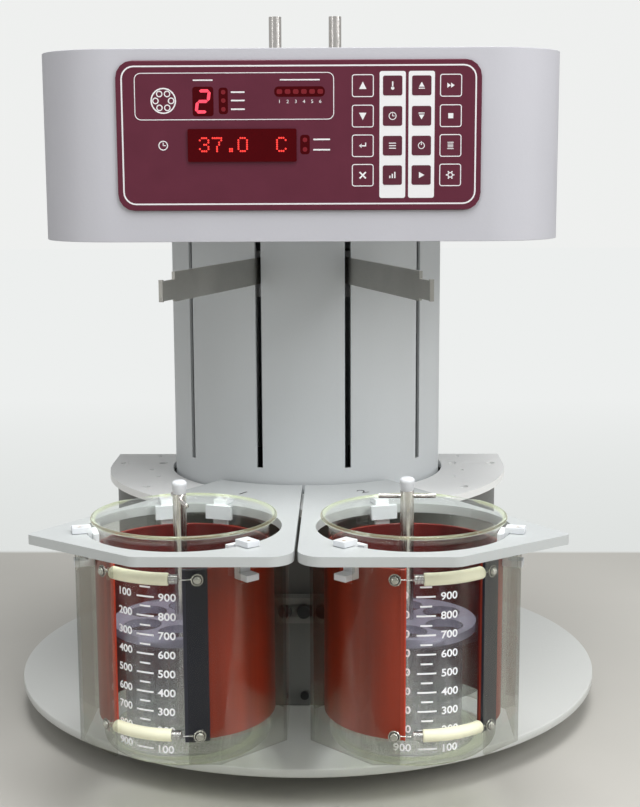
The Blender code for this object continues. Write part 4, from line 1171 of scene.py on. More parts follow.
@dataclass
class Foundation:
    """Feet, base disc, lower housing, deck and column."""

    shop: Workshop
    layout: Layout
    disc_radius: float = 0.219
    disc_edge: float = 0.0009
    disc_soft: float = 0.00027
    disc_steps: int = 256
    column_radius: float = 0.100
    column_wall: float = 0.002
    column_clearance: float = 0.0025
    slot_width: float = 0.0045
    slot_bottom: float = 0.1935
    slot_top: float = 0.3522
    slot_angles: tuple[float, ...] = (-54.0, -18.0, 18.0, 54.0)
    steps_per_degree: float = 0.5
    housing_corner: float = 0.072
    housing_corner_steps: int = 24
    housing_fold: float = 0.002
    housing_wall: float = 0.002
    housing_rim: float = 0.0075
    screw_radius: float = 0.003
    screw_height: float = 0.008
    screw_section_shares: Section = ((0.0, 0.9), (1.0, 0.9), (1.0, 0.3), (0.7, 0.0), (0.0, 0.0))
    plug_section: Section = (
        (0.0, -0.0025), (0.0042, -0.0025), (0.0042, 0.0), (0.0048, 0.0004),
        (0.0048, 0.0035), (0.0042, 0.0042), (0.0, 0.0042),
    )
    plug_pitch: float = 0.013
    small_steps: int = 24

    def build(self) -> None:
        """Dresses every piece of the foundation."""
        for corner in ("front_left", "front_right", "rear_left", "rear_right"):
            self.shop.skin(f"foot_{corner}", RUBBER, smooth=35.0)
        self.base_disc()
        self.shop.skin("housing_deck", DECK_PAINT)
        self.lower_housing()
        self.housing_screw()
        self.shop.skin("heater_socket_block", SOCKET_GREY)
        self.shop.keep("power_inlet", BLACK_PLASTIC)
        self.column()
        self.plugs()

    def base_disc(self) -> None:
        """The round base, turned finely with a soft edge."""
        low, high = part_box("base_disc")
        radius, edge, soft = self.disc_radius, self.disc_edge, self.disc_soft
        profile = [
            (0.0, low.z),
            (radius - edge, low.z),
            (radius - soft, low.z + soft),
            (radius, low.z + edge),
            (radius, high.z - edge),
            (radius - soft, high.z - soft),
            (radius - edge, high.z),
            (0.0, high.z),
        ]
        shape = self.layout.on_column(lathe(profile, self.disc_steps))
        self.shop.piece("base_disc_turned", shape, DISC_PAINT, "base_disc", smooth=50.0, replace=True)

    def housing_line(self, inset: float) -> Array:
        """The housing's line in plan, from one rear edge round the front to the other.

        Args:
            inset: how far inside the outer face the line runs.

        Returns:
            Points, n by two.
        """
        low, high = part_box("lower_housing")
        left, right, back = low.x + inset, high.x - inset, high.y - inset
        fold, radius = self.housing_fold, self.housing_corner - inset
        turn_y = low.y + self.screw_radius + inset + radius
        depth = high.y - self.housing_wall - self.layout.axis_y
        reach = math.sqrt((self.column_radius + self.column_clearance) ** 2 - depth**2)
        steps = self.housing_corner_steps
        return np.vstack([
            [(-reach, back), (left + fold, back), (left, back - fold)],
            arc((left + radius, turn_y), (radius, radius), 180.0, 270.0, steps),
            arc((right - radius, turn_y), (radius, radius), 270.0, 360.0, steps),
            [(right, back - fold), (right - fold, back), (reach, back)],
        ])

    def lower_housing(self) -> None:
        """The folded sheet round the column's foot, with a rim turned in under the deck."""
        low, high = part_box("lower_housing")
        wall, rim, under = self.housing_wall, self.housing_rim, high.z - self.housing_wall / 2
        section = [(0.0, low.z), (0.0, high.z), (rim, high.z),
                   (rim, under), (wall, under), (wall, low.z)]
        rows = []
        for inset, level in section:
            line = self.housing_line(inset)
            rows.append(np.column_stack([line, np.full(len(line), level)]))
        shape = grid(np.stack(rows, 1), False, True, caps=True)
        self.shop.piece("housing_sheet", shape, HOUSING_PAINT, "lower_housing", smooth=30.0, replace=True)

    def housing_screw(self) -> None:
        """The dark screw low in the middle of the housing's front."""
        low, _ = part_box("lower_housing")
        profile = np.array(self.screw_section_shares) * self.screw_radius
        head = standing_out(lathe(profile, self.small_steps), 0.0, low.z + self.screw_height)
        head = head.moved(0.0, low.y + self.screw_radius)
        self.shop.piece("housing_screw", head, BLACK_PLASTIC, "lower_housing", smooth=30.0)

    def column(self) -> None:
        """The slotted column, as curved walls between, under and over its slots."""
        low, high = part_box("column_shell")
        radii = (self.column_radius - self.column_wall, self.column_radius)
        half = math.degrees(self.slot_width / 2 / self.column_radius)
        edges = [angle for slot in self.slot_angles for angle in (slot - half, slot + half)]
        edges = [*edges, edges[0] + 360.0]
        walls = []
        for number, angles in enumerate(zip(edges, edges[1:])):
            steps = max(2, int((angles[1] - angles[0]) * self.steps_per_degree))
            spans = [(low.z, high.z)]
            if number % 2 == 0:
                spans = [(low.z, self.slot_bottom), (self.slot_top, high.z)]
            walls += [curved_plate(radii, angles, span, steps) for span in spans]
        shape = self.layout.on_column(gather(walls))
        self.shop.piece("column_wall", shape, COLUMN_PAINT, "column_shell", smooth=30.0, replace=True)

    def plugs(self) -> None:
        """Three black plugs in the heater sockets."""
        low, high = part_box("heater_socket_block")
        plug = standing_out(lathe(self.plug_section, self.small_steps), -low.y, (low.z + high.z) / 2)
        plugs = [plug.moved(step * self.plug_pitch) for step in (-1, 0, 1)]
        self.shop.piece("heater_plugs", gather(plugs), BLACK_PLASTIC, "heater_socket_block", smooth=40.0)


class Icon(Enum):
    """Plain signs on the keys, in a square from -1 to 1."""

    UP = "up"
    DOWN = "down"
    ENTER = "enter"
    CLEAR = "clear"
    HEAT = "heat"
    CLOCK = "clock"
    LIST = "list"
    BARS = "bars"
    RAISE = "raise"
    LOWER = "lower"
    POWER = "power"
    START = "start"
    START_ALL = "start_all"
    STOP = "stop"
    PAGE = "page"
    SETTINGS = "settings"
    BASKET = "basket"

    def shape(self, size: float, thickness: float) -> Shape:
        """The sign as thin plates.

        Args:
            size: half the side of its square.
            thickness: thickness of the plates.

        Returns:
            The shape.
        """

        def bar(left: float, low: float, right: float, high: float) -> Shape:
            """An upright rectangle."""
            return flat([(left, low), (right, low), (right, high), (left, high)], thickness)

        def disc(radius: float, x: float = 0.0, y: float = 0.0) -> Shape:
            """A filled circle."""
            return flat(circle(radius, SIGN_DISC_STEPS, x, y), thickness)

        def ring(radius: float, line: float, x: float = 0.0, y: float = 0.0) -> Shape:
            """An open circle."""
            lines = [circle(reach, SIGN_RING_STEPS, x, y) for reach in (radius, radius - line)]
            return flat_ring(*lines, thickness)

        def spike(*points: Pair) -> Shape:
            """A filled outline."""
            return flat(points, thickness)

        cross = [(-0.52, 0.74), (-0.74, 0.52), (-0.22, 0.0), (-0.74, -0.52), (-0.52, -0.74),
                 (0.0, -0.22), (0.52, -0.74), (0.74, -0.52), (0.22, 0.0), (0.74, 0.52),
                 (0.52, 0.74), (0.0, 0.22)]
        signs = {
            Icon.UP: lambda: [spike((-0.62, -0.55), (0.62, -0.55), (0.0, 0.65))],
            Icon.DOWN: lambda: [spike((0.62, 0.55), (-0.62, 0.55), (0.0, -0.65))],
            Icon.ENTER: lambda: [
                bar(-0.35, -0.12, 0.68, 0.12),
                bar(0.46, 0.12, 0.68, 0.62),
                spike((-0.75, 0.0), (-0.25, -0.42), (-0.25, 0.42)),
            ],
            Icon.CLEAR: lambda: [spike(*cross)],
            Icon.HEAT: lambda: [bar(-0.14, -0.35, 0.14, 0.8), disc(0.34, 0.0, -0.5)],
            Icon.CLOCK: lambda: [
                ring(0.78, 0.16), bar(-0.07, -0.05, 0.07, 0.5), bar(0.0, -0.07, 0.4, 0.07)
            ],
            Icon.LIST: lambda: [bar(-0.7, y - 0.09, 0.7, y + 0.09) for y in (-0.5, 0.0, 0.5)],
            Icon.BARS: lambda: [
                bar(x - 0.13, -0.6, x + 0.13, high)
                for x, high in ((-0.5, -0.1), (0.0, 0.25), (0.5, 0.65))
            ],
            Icon.RAISE: lambda: [
                spike((-0.55, -0.25), (0.55, -0.25), (0.0, 0.7)), bar(-0.6, -0.65, 0.6, -0.45)
            ],
            Icon.LOWER: lambda: [
                spike((0.55, 0.25), (-0.55, 0.25), (0.0, -0.7)), bar(-0.6, 0.45, 0.6, 0.65)
            ],
            Icon.POWER: lambda: [ring(0.68, 0.15), bar(-0.08, 0.1, 0.08, 0.85)],
            Icon.START: lambda: [spike((-0.45, -0.62), (0.65, 0.0), (-0.45, 0.62))],
            Icon.START_ALL: lambda: [
                spike((-0.75, -0.5), (-0.05, 0.0), (-0.75, 0.5)),
                spike((0.0, -0.5), (0.7, 0.0), (0.0, 0.5)),
            ],
            Icon.STOP: lambda: [bar(-0.5, -0.5, 0.5, 0.5)],
            Icon.PAGE: lambda: [
                *[bar(-0.55, y - 0.07, 0.55, y + 0.07) for y in (-0.28, 0.0, 0.28)],
                bar(-0.62, 0.55, 0.62, 0.7),
                bar(-0.62, -0.7, 0.62, -0.55),
            ],
            Icon.SETTINGS: lambda: [ring(0.55, 0.2), *[disc(0.15, x, y) for x, y in circle(0.72, 6)]],
            Icon.BASKET: lambda: [
                ring(0.95, 0.1), *[ring(0.24, 0.08, x, y) for x, y in circle(0.58, 6)]
            ],
        }
        return gather(signs[self]()).scaled(size, size)


DOT_ROWS = {
    "0": ("01110", "10001", "10001", "10001", "10001", "10001", "01110"),
    "3": ("01110", "10001", "00001", "00110", "00001", "10001", "01110"),
    "7": ("11111", "00001", "00010", "00010", "00100", "00100", "00100"),
    ".": ("00000", "00000", "00000", "00000", "00000", "00110", "00110"),
    " ": ("00000", "00000", "00000", "00000", "00000", "00000", "00000"),
    "C": ("01110", "10001", "10000", "10000", "10000", "10001", "01110"),
}


@dataclass(frozen=True)
class Patch:
    """A round-cornered patch of the panel, in pixels of the photograph; line 0 is filled."""

    width: float
    height: float
    corner: float
    column: float
    row: float
    line: float = 0.0


@dataclass
class ControlHead:
    """The head's shell, its panel with keys, lamps and displays, and the posts through it.

    Places and sizes on the panel are counted in the photograph's pixels, because the panel was
    laid out from them: right from the panel's middle column and down from its top row.
    """

    shop: Workshop
    metres_per_pixel: float = 0.000623
    middle_column: float = 299.5
    top_row: float = 61.0
    film: float = 0.00009
    film_sink_share: float = 0.2
    border: Patch = Patch(355.0, 137.6, 13.0, 299.6, 134.8, 1.5)
    status_frame: Patch = Patch(199.6, 46.4, 6.5, 235.3, 96.3, 0.8)
    basket_sign: Triple = (13.5, 164.5, 100.5)
    clock_sign: Triple = (6.2, 163.5, 144.5)
    headings: tuple[Patch, ...] = (
        Patch(20.0, 1.3, 0.6, 204.2, 80.5), Patch(40.0, 1.3, 0.6, 301.0, 80.5),
    )
    status_words: Patch = Patch(14.0, 1.5, 0.7, 239.0, 0.0)
    status_rows: tuple[float, ...] = (92.3, 100.5, 109.0)
    time_words: Patch = Patch(17.0, 1.5, 0.7, 322.5, 0.0)
    time_word_rows: tuple[float, ...] = (139.0, 149.2)
    station_well: Patch = Patch(21.0, 29.0, 3.0, 204.2, 101.3)
    status_well: Patch = Patch(9.2, 26.0, 3.0, 224.5, 100.8)
    tube_well: Patch = Patch(50.5, 10.2, 4.5, 300.7, 92.0)
    time_well: Patch = Patch(9.6, 19.2, 3.0, 305.8, 144.0)
    status_lamp: Patch = Patch(4.4, 4.4, 2.0, 224.5, 0.0)
    time_lamp: Patch = Patch(4.6, 4.6, 2.1, 305.8, 0.0)
    time_lamp_rows: tuple[float, ...] = (139.4, 148.8)
    tube_lamp: Patch = Patch(5.6, 4.6, 1.6, 0.0, 92.0)
    tube_columns: tuple[float, ...] = tuple(280.6 + 8.15 * tube for tube in range(6))
    tube_figure_row: float = 101.6
    tube_figure_height: float = 3.3
    tube_figure_width_share: float = 1.1
    key_rows: tuple[float, ...] = (86.6, 116.3, 145.5, 174.6)
    key_columns: tuple[float, ...] = (363.7, 393.4, 422.3, 451.4)
    key_frame: Patch = Patch(21.8, 22.2, 2.6, 0.0, 0.0, 0.9)
    key_cap: Patch = Patch(19.3, 19.4, 2.0, 0.0, 0.0)
    key_strip: Patch = Patch(26.0, 124.8, 2.2, 0.0, 134.9)
    arrow_size: float = 6.0
    sign_size: float = 5.0
    signs: tuple[tuple[Icon, ...], ...] = (
        (Icon.UP, Icon.HEAT, Icon.RAISE, Icon.START_ALL),
        (Icon.DOWN, Icon.CLOCK, Icon.LOWER, Icon.STOP),
        (Icon.ENTER, Icon.LIST, Icon.POWER, Icon.PAGE),
        (Icon.CLEAR, Icon.BARS, Icon.START, Icon.SETTINGS),
    )
    lit_segments: str = "abged"
    segment_width: float = 10.6
    segment_height: float = 20.6
    segment_stroke: float = 3.1
    segment_gap: float = 0.3
    segment_lean: float = 0.14
    segment_place: Pair = (204.0, 101.2)
    reading: str = "37.0  C"
    dot_pitch: float = 2.15
    dot_advance: float = 12.9
    dot_radius_share: float = 0.47
    dot_sides: int = 8
    dot_place: Pair = (243.5, 143.8)

    def build(self) -> None:
        """Dresses every piece of the head."""
        self.shop.skin("head_shell", HEAD_PAINT)
        self.shop.skin("head_bottom_cover", HEAD_PAINT)
        self.shop.keep("control_board", BOARD_GREEN)
        for side in Side:
            self.shop.skin(f"guide_post_{side.word}", ROD_STEEL)
        self.shop.skin("keypad_panel", PANEL_FILM)
        self.shop.keep("display_window", WINDOW_FILM)
        self.printed_signs()
        self.keys()
        self.lamps()
        self.station_figure()
        self.dot_reading()

    def on_panel(self, shape: Shape, column: float, row: float,
                 layer: float = 0.0, node: str = "keypad_panel") -> Shape:
        """Lays a flat shape on the front of the panel.

        Args:
            shape: the shape, in its own XY plane.
            column: pixel column of its origin.
            row: pixel row of its origin.
            layer: how many films lie under it.
            node: the CAD node whose front carries it.

        Returns:
            The placed shape.
        """
        x = (column - self.middle_column) * self.metres_per_pixel
        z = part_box("keypad_panel")[1].z - (row - self.top_row) * self.metres_per_pixel
        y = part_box(node)[0].y + self.film * (self.film_sink_share - layer)
        return standing_out(shape, 0.0, 0.0).moved(x, y, z)

    def patch(self, patch: Patch, column: float = 0.0, row: float = 0.0, layer: float = 0.0) -> Shape:
        """A patch on the panel, filled or as a frame.

        Args:
            patch: its size, corner, line and place.
            column: columns added to its place.
            row: rows added to its place.
            layer: how many films lie under it.

        Returns:
            The placed shape.
        """
        p, line = self.metres_per_pixel, patch.line
        outer = rounded_outline(patch.width * p, patch.height * p, patch.corner * p)
        if line:
            width, height = patch.width - 2 * line, patch.height - 2 * line
            inner = rounded_outline(width * p, height * p, (patch.corner - line) * p)
            shape = flat_ring(outer, inner, self.film)
        else:
            shape = flat(outer, self.film)
        return self.on_panel(shape, patch.column + column, patch.row + row, layer)

    def sign(self, icon: Icon, size: float, column: float, row: float, layer: float = 0.0) -> Shape:
        """A sign on the panel, with half the side of its square and its place in pixels."""
        shape = icon.shape(size * self.metres_per_pixel, self.film)
        return self.on_panel(shape, column, row, layer)

    def printed_signs(self) -> None:
        """The white line round the panel, the status frame, and small printed signs."""
        printed = [
            self.patch(self.border),
            self.patch(self.status_frame),
            self.sign(Icon.BASKET, *self.basket_sign),
            self.sign(Icon.CLOCK, *self.clock_sign),
        ]
        height = self.tube_figure_height * self.metres_per_pixel
        for index, column in enumerate(self.tube_columns):
            figure = lettering(str(index + 1), height, self.tube_figure_width_share, self.film)
            printed.append(self.on_panel(figure, column, self.tube_figure_row))
        printed += [self.patch(self.status_words, 0.0, row) for row in self.status_rows]
        printed += [self.patch(self.time_words, 0.0, row) for row in self.time_word_rows]
        printed += [self.patch(heading) for heading in self.headings]
        self.shop.piece("panel_print", gather(printed), WHITE_INK, "keypad_panel")

    def keys(self) -> None:
        """Sixteen keys: two outlined columns, and two on white strips."""
        frames, strips, caps, signs = [], [], [], []
        for column in (0, 3):
            place = self.key_columns[column]
            frames += [self.patch(self.key_frame, place, row) for row in self.key_rows]
        for column in (1, 2):
            place = self.key_columns[column]
            strips.append(self.patch(self.key_strip, place))
            caps += [self.patch(self.key_cap, place, row, 1.0) for row in self.key_rows]
        for row, names in zip(self.key_rows, self.signs):
            for column, icon in enumerate(names):
                size = self.arrow_size if icon in (Icon.UP, Icon.DOWN) else self.sign_size
                layer = 2.0 if column in (1, 2) else 0.0
                signs.append(self.sign(icon, size, self.key_columns[column], row, layer))
        self.shop.piece("key_frames", gather(frames), WHITE_INK, "keypad_panel")
        self.shop.piece("key_strips", gather(strips), WHITE_INK, "keypad_panel")
        self.shop.piece("key_caps", gather(caps), KEY_FILM, "keypad_panel")
        self.shop.piece("key_signs", gather(signs), WHITE_INK, "keypad_panel")

    def lamps(self) -> None:
        """The dark wells of the lamps and the dim lamps in them."""
        wells = (self.station_well, self.status_well, self.tube_well, self.time_well)
        dim = [self.patch(self.status_lamp, 0.0, row, 1.0) for row in self.status_rows]
        dim += [self.patch(self.time_lamp, 0.0, row, 1.0) for row in self.time_lamp_rows]
        dim += [self.patch(self.tube_lamp, column, 0.0, 1.0) for column in self.tube_columns]
        shape = gather(self.patch(well) for well in wells)
        self.shop.piece("lamp_wells", shape, LAMP_WELL, "keypad_panel")
        self.shop.piece("lamps_dim", gather(dim), DIM_RED, "keypad_panel")

    def station_figure(self) -> None:
        """The lit seven-segment figure of the station number, leaning a little."""
        p = self.metres_per_pixel
        half_width, half_height = self.segment_width * p / 2, self.segment_height * p / 2
        tip = self.segment_stroke * p / 2
        places = {
            "a": (0.0, half_height, 0.0), "d": (0.0, -half_height, 0.0), "g": (0.0, 0.0, 0.0),
            "b": (half_width, half_height / 2, 90.0), "c": (half_width, -half_height / 2, 90.0),
            "f": (-half_width, half_height / 2, 90.0), "e": (-half_width, -half_height / 2, 90.0),
        }
        segments = []
        for name in self.lit_segments:
            x, y, turn = places[name]
            length = (half_height / 2 if turn else half_width) - self.segment_gap * p
            outline = [(-length, 0.0), (-length + tip, -tip), (length - tip, -tip), (length, 0.0),
                       (length - tip, tip), (-length + tip, tip)]
            segments.append(flat(outline, self.film).spun(turn).moved(x, y))
        shape = gather(segments)
        shape.points[:, 0] += shape.points[:, 1] * self.segment_lean
        placed = self.on_panel(shape, *self.segment_place, 1.0)
        self.shop.piece("station_figure", placed, DIGIT_RED, "keypad_panel")

    def dot_reading(self) -> None:
        """The reading of the display, as dots in cells of five by seven."""
        pitch = self.dot_pitch * self.metres_per_pixel
        advance = self.dot_advance * self.metres_per_pixel
        dot = flat(circle(pitch * self.dot_radius_share, self.dot_sides), self.film)
        start = -advance * (len(self.reading) - 1) / 2
        dots = [
            dot.moved(start + index * advance + (column - 2) * pitch, (3 - row) * pitch)
            for index, sign in enumerate(self.reading)
            for row, line in enumerate(DOT_ROWS[sign])
            for column, lit in enumerate(line)
            if lit == "1"
        ]
        placed = self.on_panel(gather(dots), *self.dot_place, 0.0, "display_window")
        self.shop.piece("display_dots", placed, DOT_RED, "display_window")


@dataclass
class LiftDrive:
    """A lift arm with its carriage, and the actuator that moves them."""

    shop: Workshop
    side: Side

    def build(self) -> None:
        """Dresses the pieces of one lift."""
        word = self.side.word
        self.shop.skin(f"lift_arm_{word}", ARM_STEEL)
        self.shop.skin(f"lift_carriage_{word}", MILLED)
        self.shop.skin(f"lift_actuator_{word}", BLACK_PLASTIC)


@dataclass(frozen=True)
class ScalePrint:
    """Where a beaker's scale is printed: angles on the station in degrees, and heights.

    The rising figures grow upwards from the lowest line, and the falling ones grow downwards. The
    lean is how far the print turns round the glass from one long line to the next.
    """

    line_angles: Pair
    falling_angle: float
    rising_angle: float
    top: float
    bottom: float
    lean: float


@dataclass
class Beaker:
    """The glass beaker with its drawn spout and printed scale."""

    shop: Workshop
    layout: Layout
    side: Side
    top: float = 0.191
    height: float = 0.1444
    radius: float = 0.0525
    rim_radius: float = 0.0575
    wall: float = 0.0022
    floor: float = 0.0028
    foot: float = 0.008
    flare: float = 0.0078
    flare_power: float = 1.7
    bead: float = 0.0012
    bead_start: float = -63.0
    turn_steps: int = 144
    foot_steps: int = 8
    flare_steps: int = 6
    bead_steps: int = 9
    spout_reach: float = 0.0042
    spout_drop: float = 0.002
    spout_power: float = 1.3
    spout_half_angle: float = 19.0
    spout_angle: float = 125.0
    ink: float = 0.00008
    ink_proud_share: float = 0.3
    line_half_height: float = 0.0005
    line_steps: int = 10
    short_line_inset: float = 2.4
    figure_height: float = 0.0048
    figure_width_share: float = 1.12
    figure_weight: float = 0.018
    figure_count: int = 9
    falling_lift: float = 0.001
    prints: ClassVar[dict[Side, ScalePrint]] = {
        Side.LEFT: ScalePrint(
            line_angles=(-8.9, 3.6), falling_angle=-18.4, rising_angle=12.4,
            top=0.1530, bottom=0.0590, lean=-0.33,
        ),
        Side.RIGHT: ScalePrint(
            line_angles=(-18.8, -6.2), falling_angle=-29.0, rising_angle=3.1,
            top=0.1536, bottom=0.0596, lean=0.22,
        ),
    }

    def build(self) -> None:
        """Makes the glass and its scale."""
        self.glass()
        self.scale()

    def section(self) -> Array:
        """The section from the middle of the foot, up the outside, and down the inside.

        The outer and inner wall flare to the lip by a power of the height above the neck.

        Returns:
            Points (r, h), n by two.
        """
        bottom, foot, bead = self.top - self.height, self.foot, self.bead
        inside, lip, small = self.radius - self.wall, self.rim_radius - self.bead, self.foot - self.wall
        rise = np.linspace(0.0, 1.0, self.flare_steps + 1)
        swell = rise**self.flare_power
        level = self.top - self.flare + (self.flare - bead) * rise
        outer = np.stack([self.radius + (lip - self.radius) * swell, level], 1)
        inner = np.stack([inside + (lip - bead - inside) * swell, level], 1)
        well_y = bottom + self.floor + small
        return np.vstack([
            (0.0, bottom),
            arc((self.radius - foot, bottom + foot), (foot, foot), -90.0, 0.0, self.foot_steps),
            outer[:-1],
            arc((lip, self.top - bead), (bead, bead), self.bead_start, 180.0, self.bead_steps),
            inner[-2::-1],
            arc((inside - small, well_y), (small, small), 0.0, -90.0, self.foot_steps),
            (0.0, bottom + self.floor),
        ])

    def glass(self) -> None:
        """The turned glass, its rim drawn out at the spout by the square of a cosine."""
        shape = lathe(self.section(), self.turn_steps)
        x, y, z = shape.points.T
        heading = math.radians(self.side.value * (self.spout_angle + self.layout.station_angle))
        off = np.arctan2(x, -y) - heading
        off = np.arctan2(np.sin(off), np.cos(off)) / math.radians(self.spout_half_angle)
        rise = np.clip((z - self.top + self.flare) / self.flare, 0.0, 1.0)
        share = np.where(np.abs(off) < 1.0, np.cos(off * np.pi / 2) ** 2, 0.0) * rise**self.spout_power
        x = x + math.sin(heading) * self.spout_reach * share
        y = y - math.cos(heading) * self.spout_reach * share
        z = z - self.spout_drop * share
        placed = Shape(np.stack([x, y, z], 1), shape.faces).moved(*self.layout.centre(self.side))
        word = self.side.word
        self.shop.piece(f"beaker_glass_{word}", placed, GLASS, f"beaker_{word}", smooth=60.0, replace=True)

    def line(self, height: float, inset: float, lean: float) -> Shape:
        """One printed line of the scale.

        Args:
            height: height of its middle.
            inset: how much shorter it is at each end, in degrees.
            lean: how far it is turned round the glass, in degrees.

        Returns:
            The line, about the beaker's axis.
        """
        start, end = self.prints[self.side].line_angles
        radii = (self.radius - self.ink, self.radius + self.ink * self.ink_proud_share)
        heights = (height - self.line_half_height, height + self.line_half_height)
        return curved_plate(radii, (start + inset + lean, end - inset + lean), heights, self.line_steps)

    def figure(self, value: int, height: float, angle: float) -> Shape:
        """One printed figure of the scale.

        Args:
            value: what it reads.
            height: height of its middle.
            angle: its angle on the station.

        Returns:
            The figure, bent about the beaker's axis.
        """
        share, weight = self.figure_width_share, self.figure_weight
        plate = lettering(str(value), self.figure_height, share, self.ink, weight)
        return wrapped(plate, self.radius, height).spun(angle)

    def scale(self) -> None:
        """Lines, and two columns of figures that run opposite ways."""
        printed = self.prints[self.side]
        step = (printed.top - printed.bottom) / (self.figure_count - 1)
        shapes = []
        for index in range(2 * self.figure_count - 1):
            inset = self.short_line_inset if index % 2 else 0.0
            shapes.append(self.line(printed.top - step * index / 2, inset, printed.lean * index / 2))
        shapes.append(self.line(printed.top + step / 2, self.short_line_inset, 0.0))
        for index in range(self.figure_count):
            height = printed.top - step * index
            falling, rising = 100 * (index + 1), 100 * (self.figure_count - index)
            columns = ((printed.falling_angle, falling, self.falling_lift),
                       (printed.rising_angle, rising, 0.0))
            for angle, value, lift in columns:
                shapes.append(self.figure(value, height + lift, angle + printed.lean * index))
        word = self.side.word
        placed = self.layout.on_station(self.side, gather(shapes))
        self.shop.piece(f"beaker_scale_{word}", placed, SCALE_INK, f"beaker_{word}", smooth=40.0)


@dataclass
class Basket:
    """The basket rack: plates, tubes, screen, rod and knob."""

    shop: Workshop
    side: Side
    wire: float = 0.0005
    wire_sides: int = 4
    wave_share: float = 0.25
    mesh_pitch: float = 0.0025
    points_per_pitch: int = 4
    fewest_points: int = 6

    def build(self) -> None:
        """Dresses the pieces of one basket."""
        word = self.side.word
        self.shop.skin(f"basket_tubes_{word}", ACRYLIC, smooth=40.0)
        self.shop.skin(f"basket_plate_{word}", PLUM_ACRYLIC, smooth=40.0)
        self.shop.skin(f"basket_rod_{word}", ROD_STEEL)
        self.shop.skin(f"basket_knob_{word}", NYLON, smooth=40.0)
        self.screen()

    def screen(self) -> None:
        """Woven wire cloth: each wire rises and falls by a share of its width as it crosses."""
        word = self.side.word
        low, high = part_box(f"basket_screen_{word}")
        radius, pitch = (high.x - low.x) / 2, self.mesh_pitch
        count = int(radius / pitch)
        wires = []
        for index in range(-count, count + 1):
            offset = index * pitch
            reach = math.sqrt(max(radius**2 - offset**2, pitch**2))
            points = max(self.fewest_points, int(reach / pitch * self.points_per_pitch))
            along = np.linspace(-reach, reach, points)
            wave = np.sin(along / pitch * np.pi + index * np.pi) * self.wire * self.wave_share
            across = np.full_like(along, offset)
            for columns in ([along, across, wave], [across, along, -wave]):
                path = np.stack(columns, 1)
                wires.append(tube(path, self.wire / 2, self.wire_sides, np.array([0.0, 0.0, 1.0])))
        shape = gather(wires).moved(*((low + high) / 2))
        node = f"basket_screen_{word}"
        self.shop.piece(f"basket_cloth_{word}", shape, SCREEN_STEEL, node, smooth=60.0, replace=True)


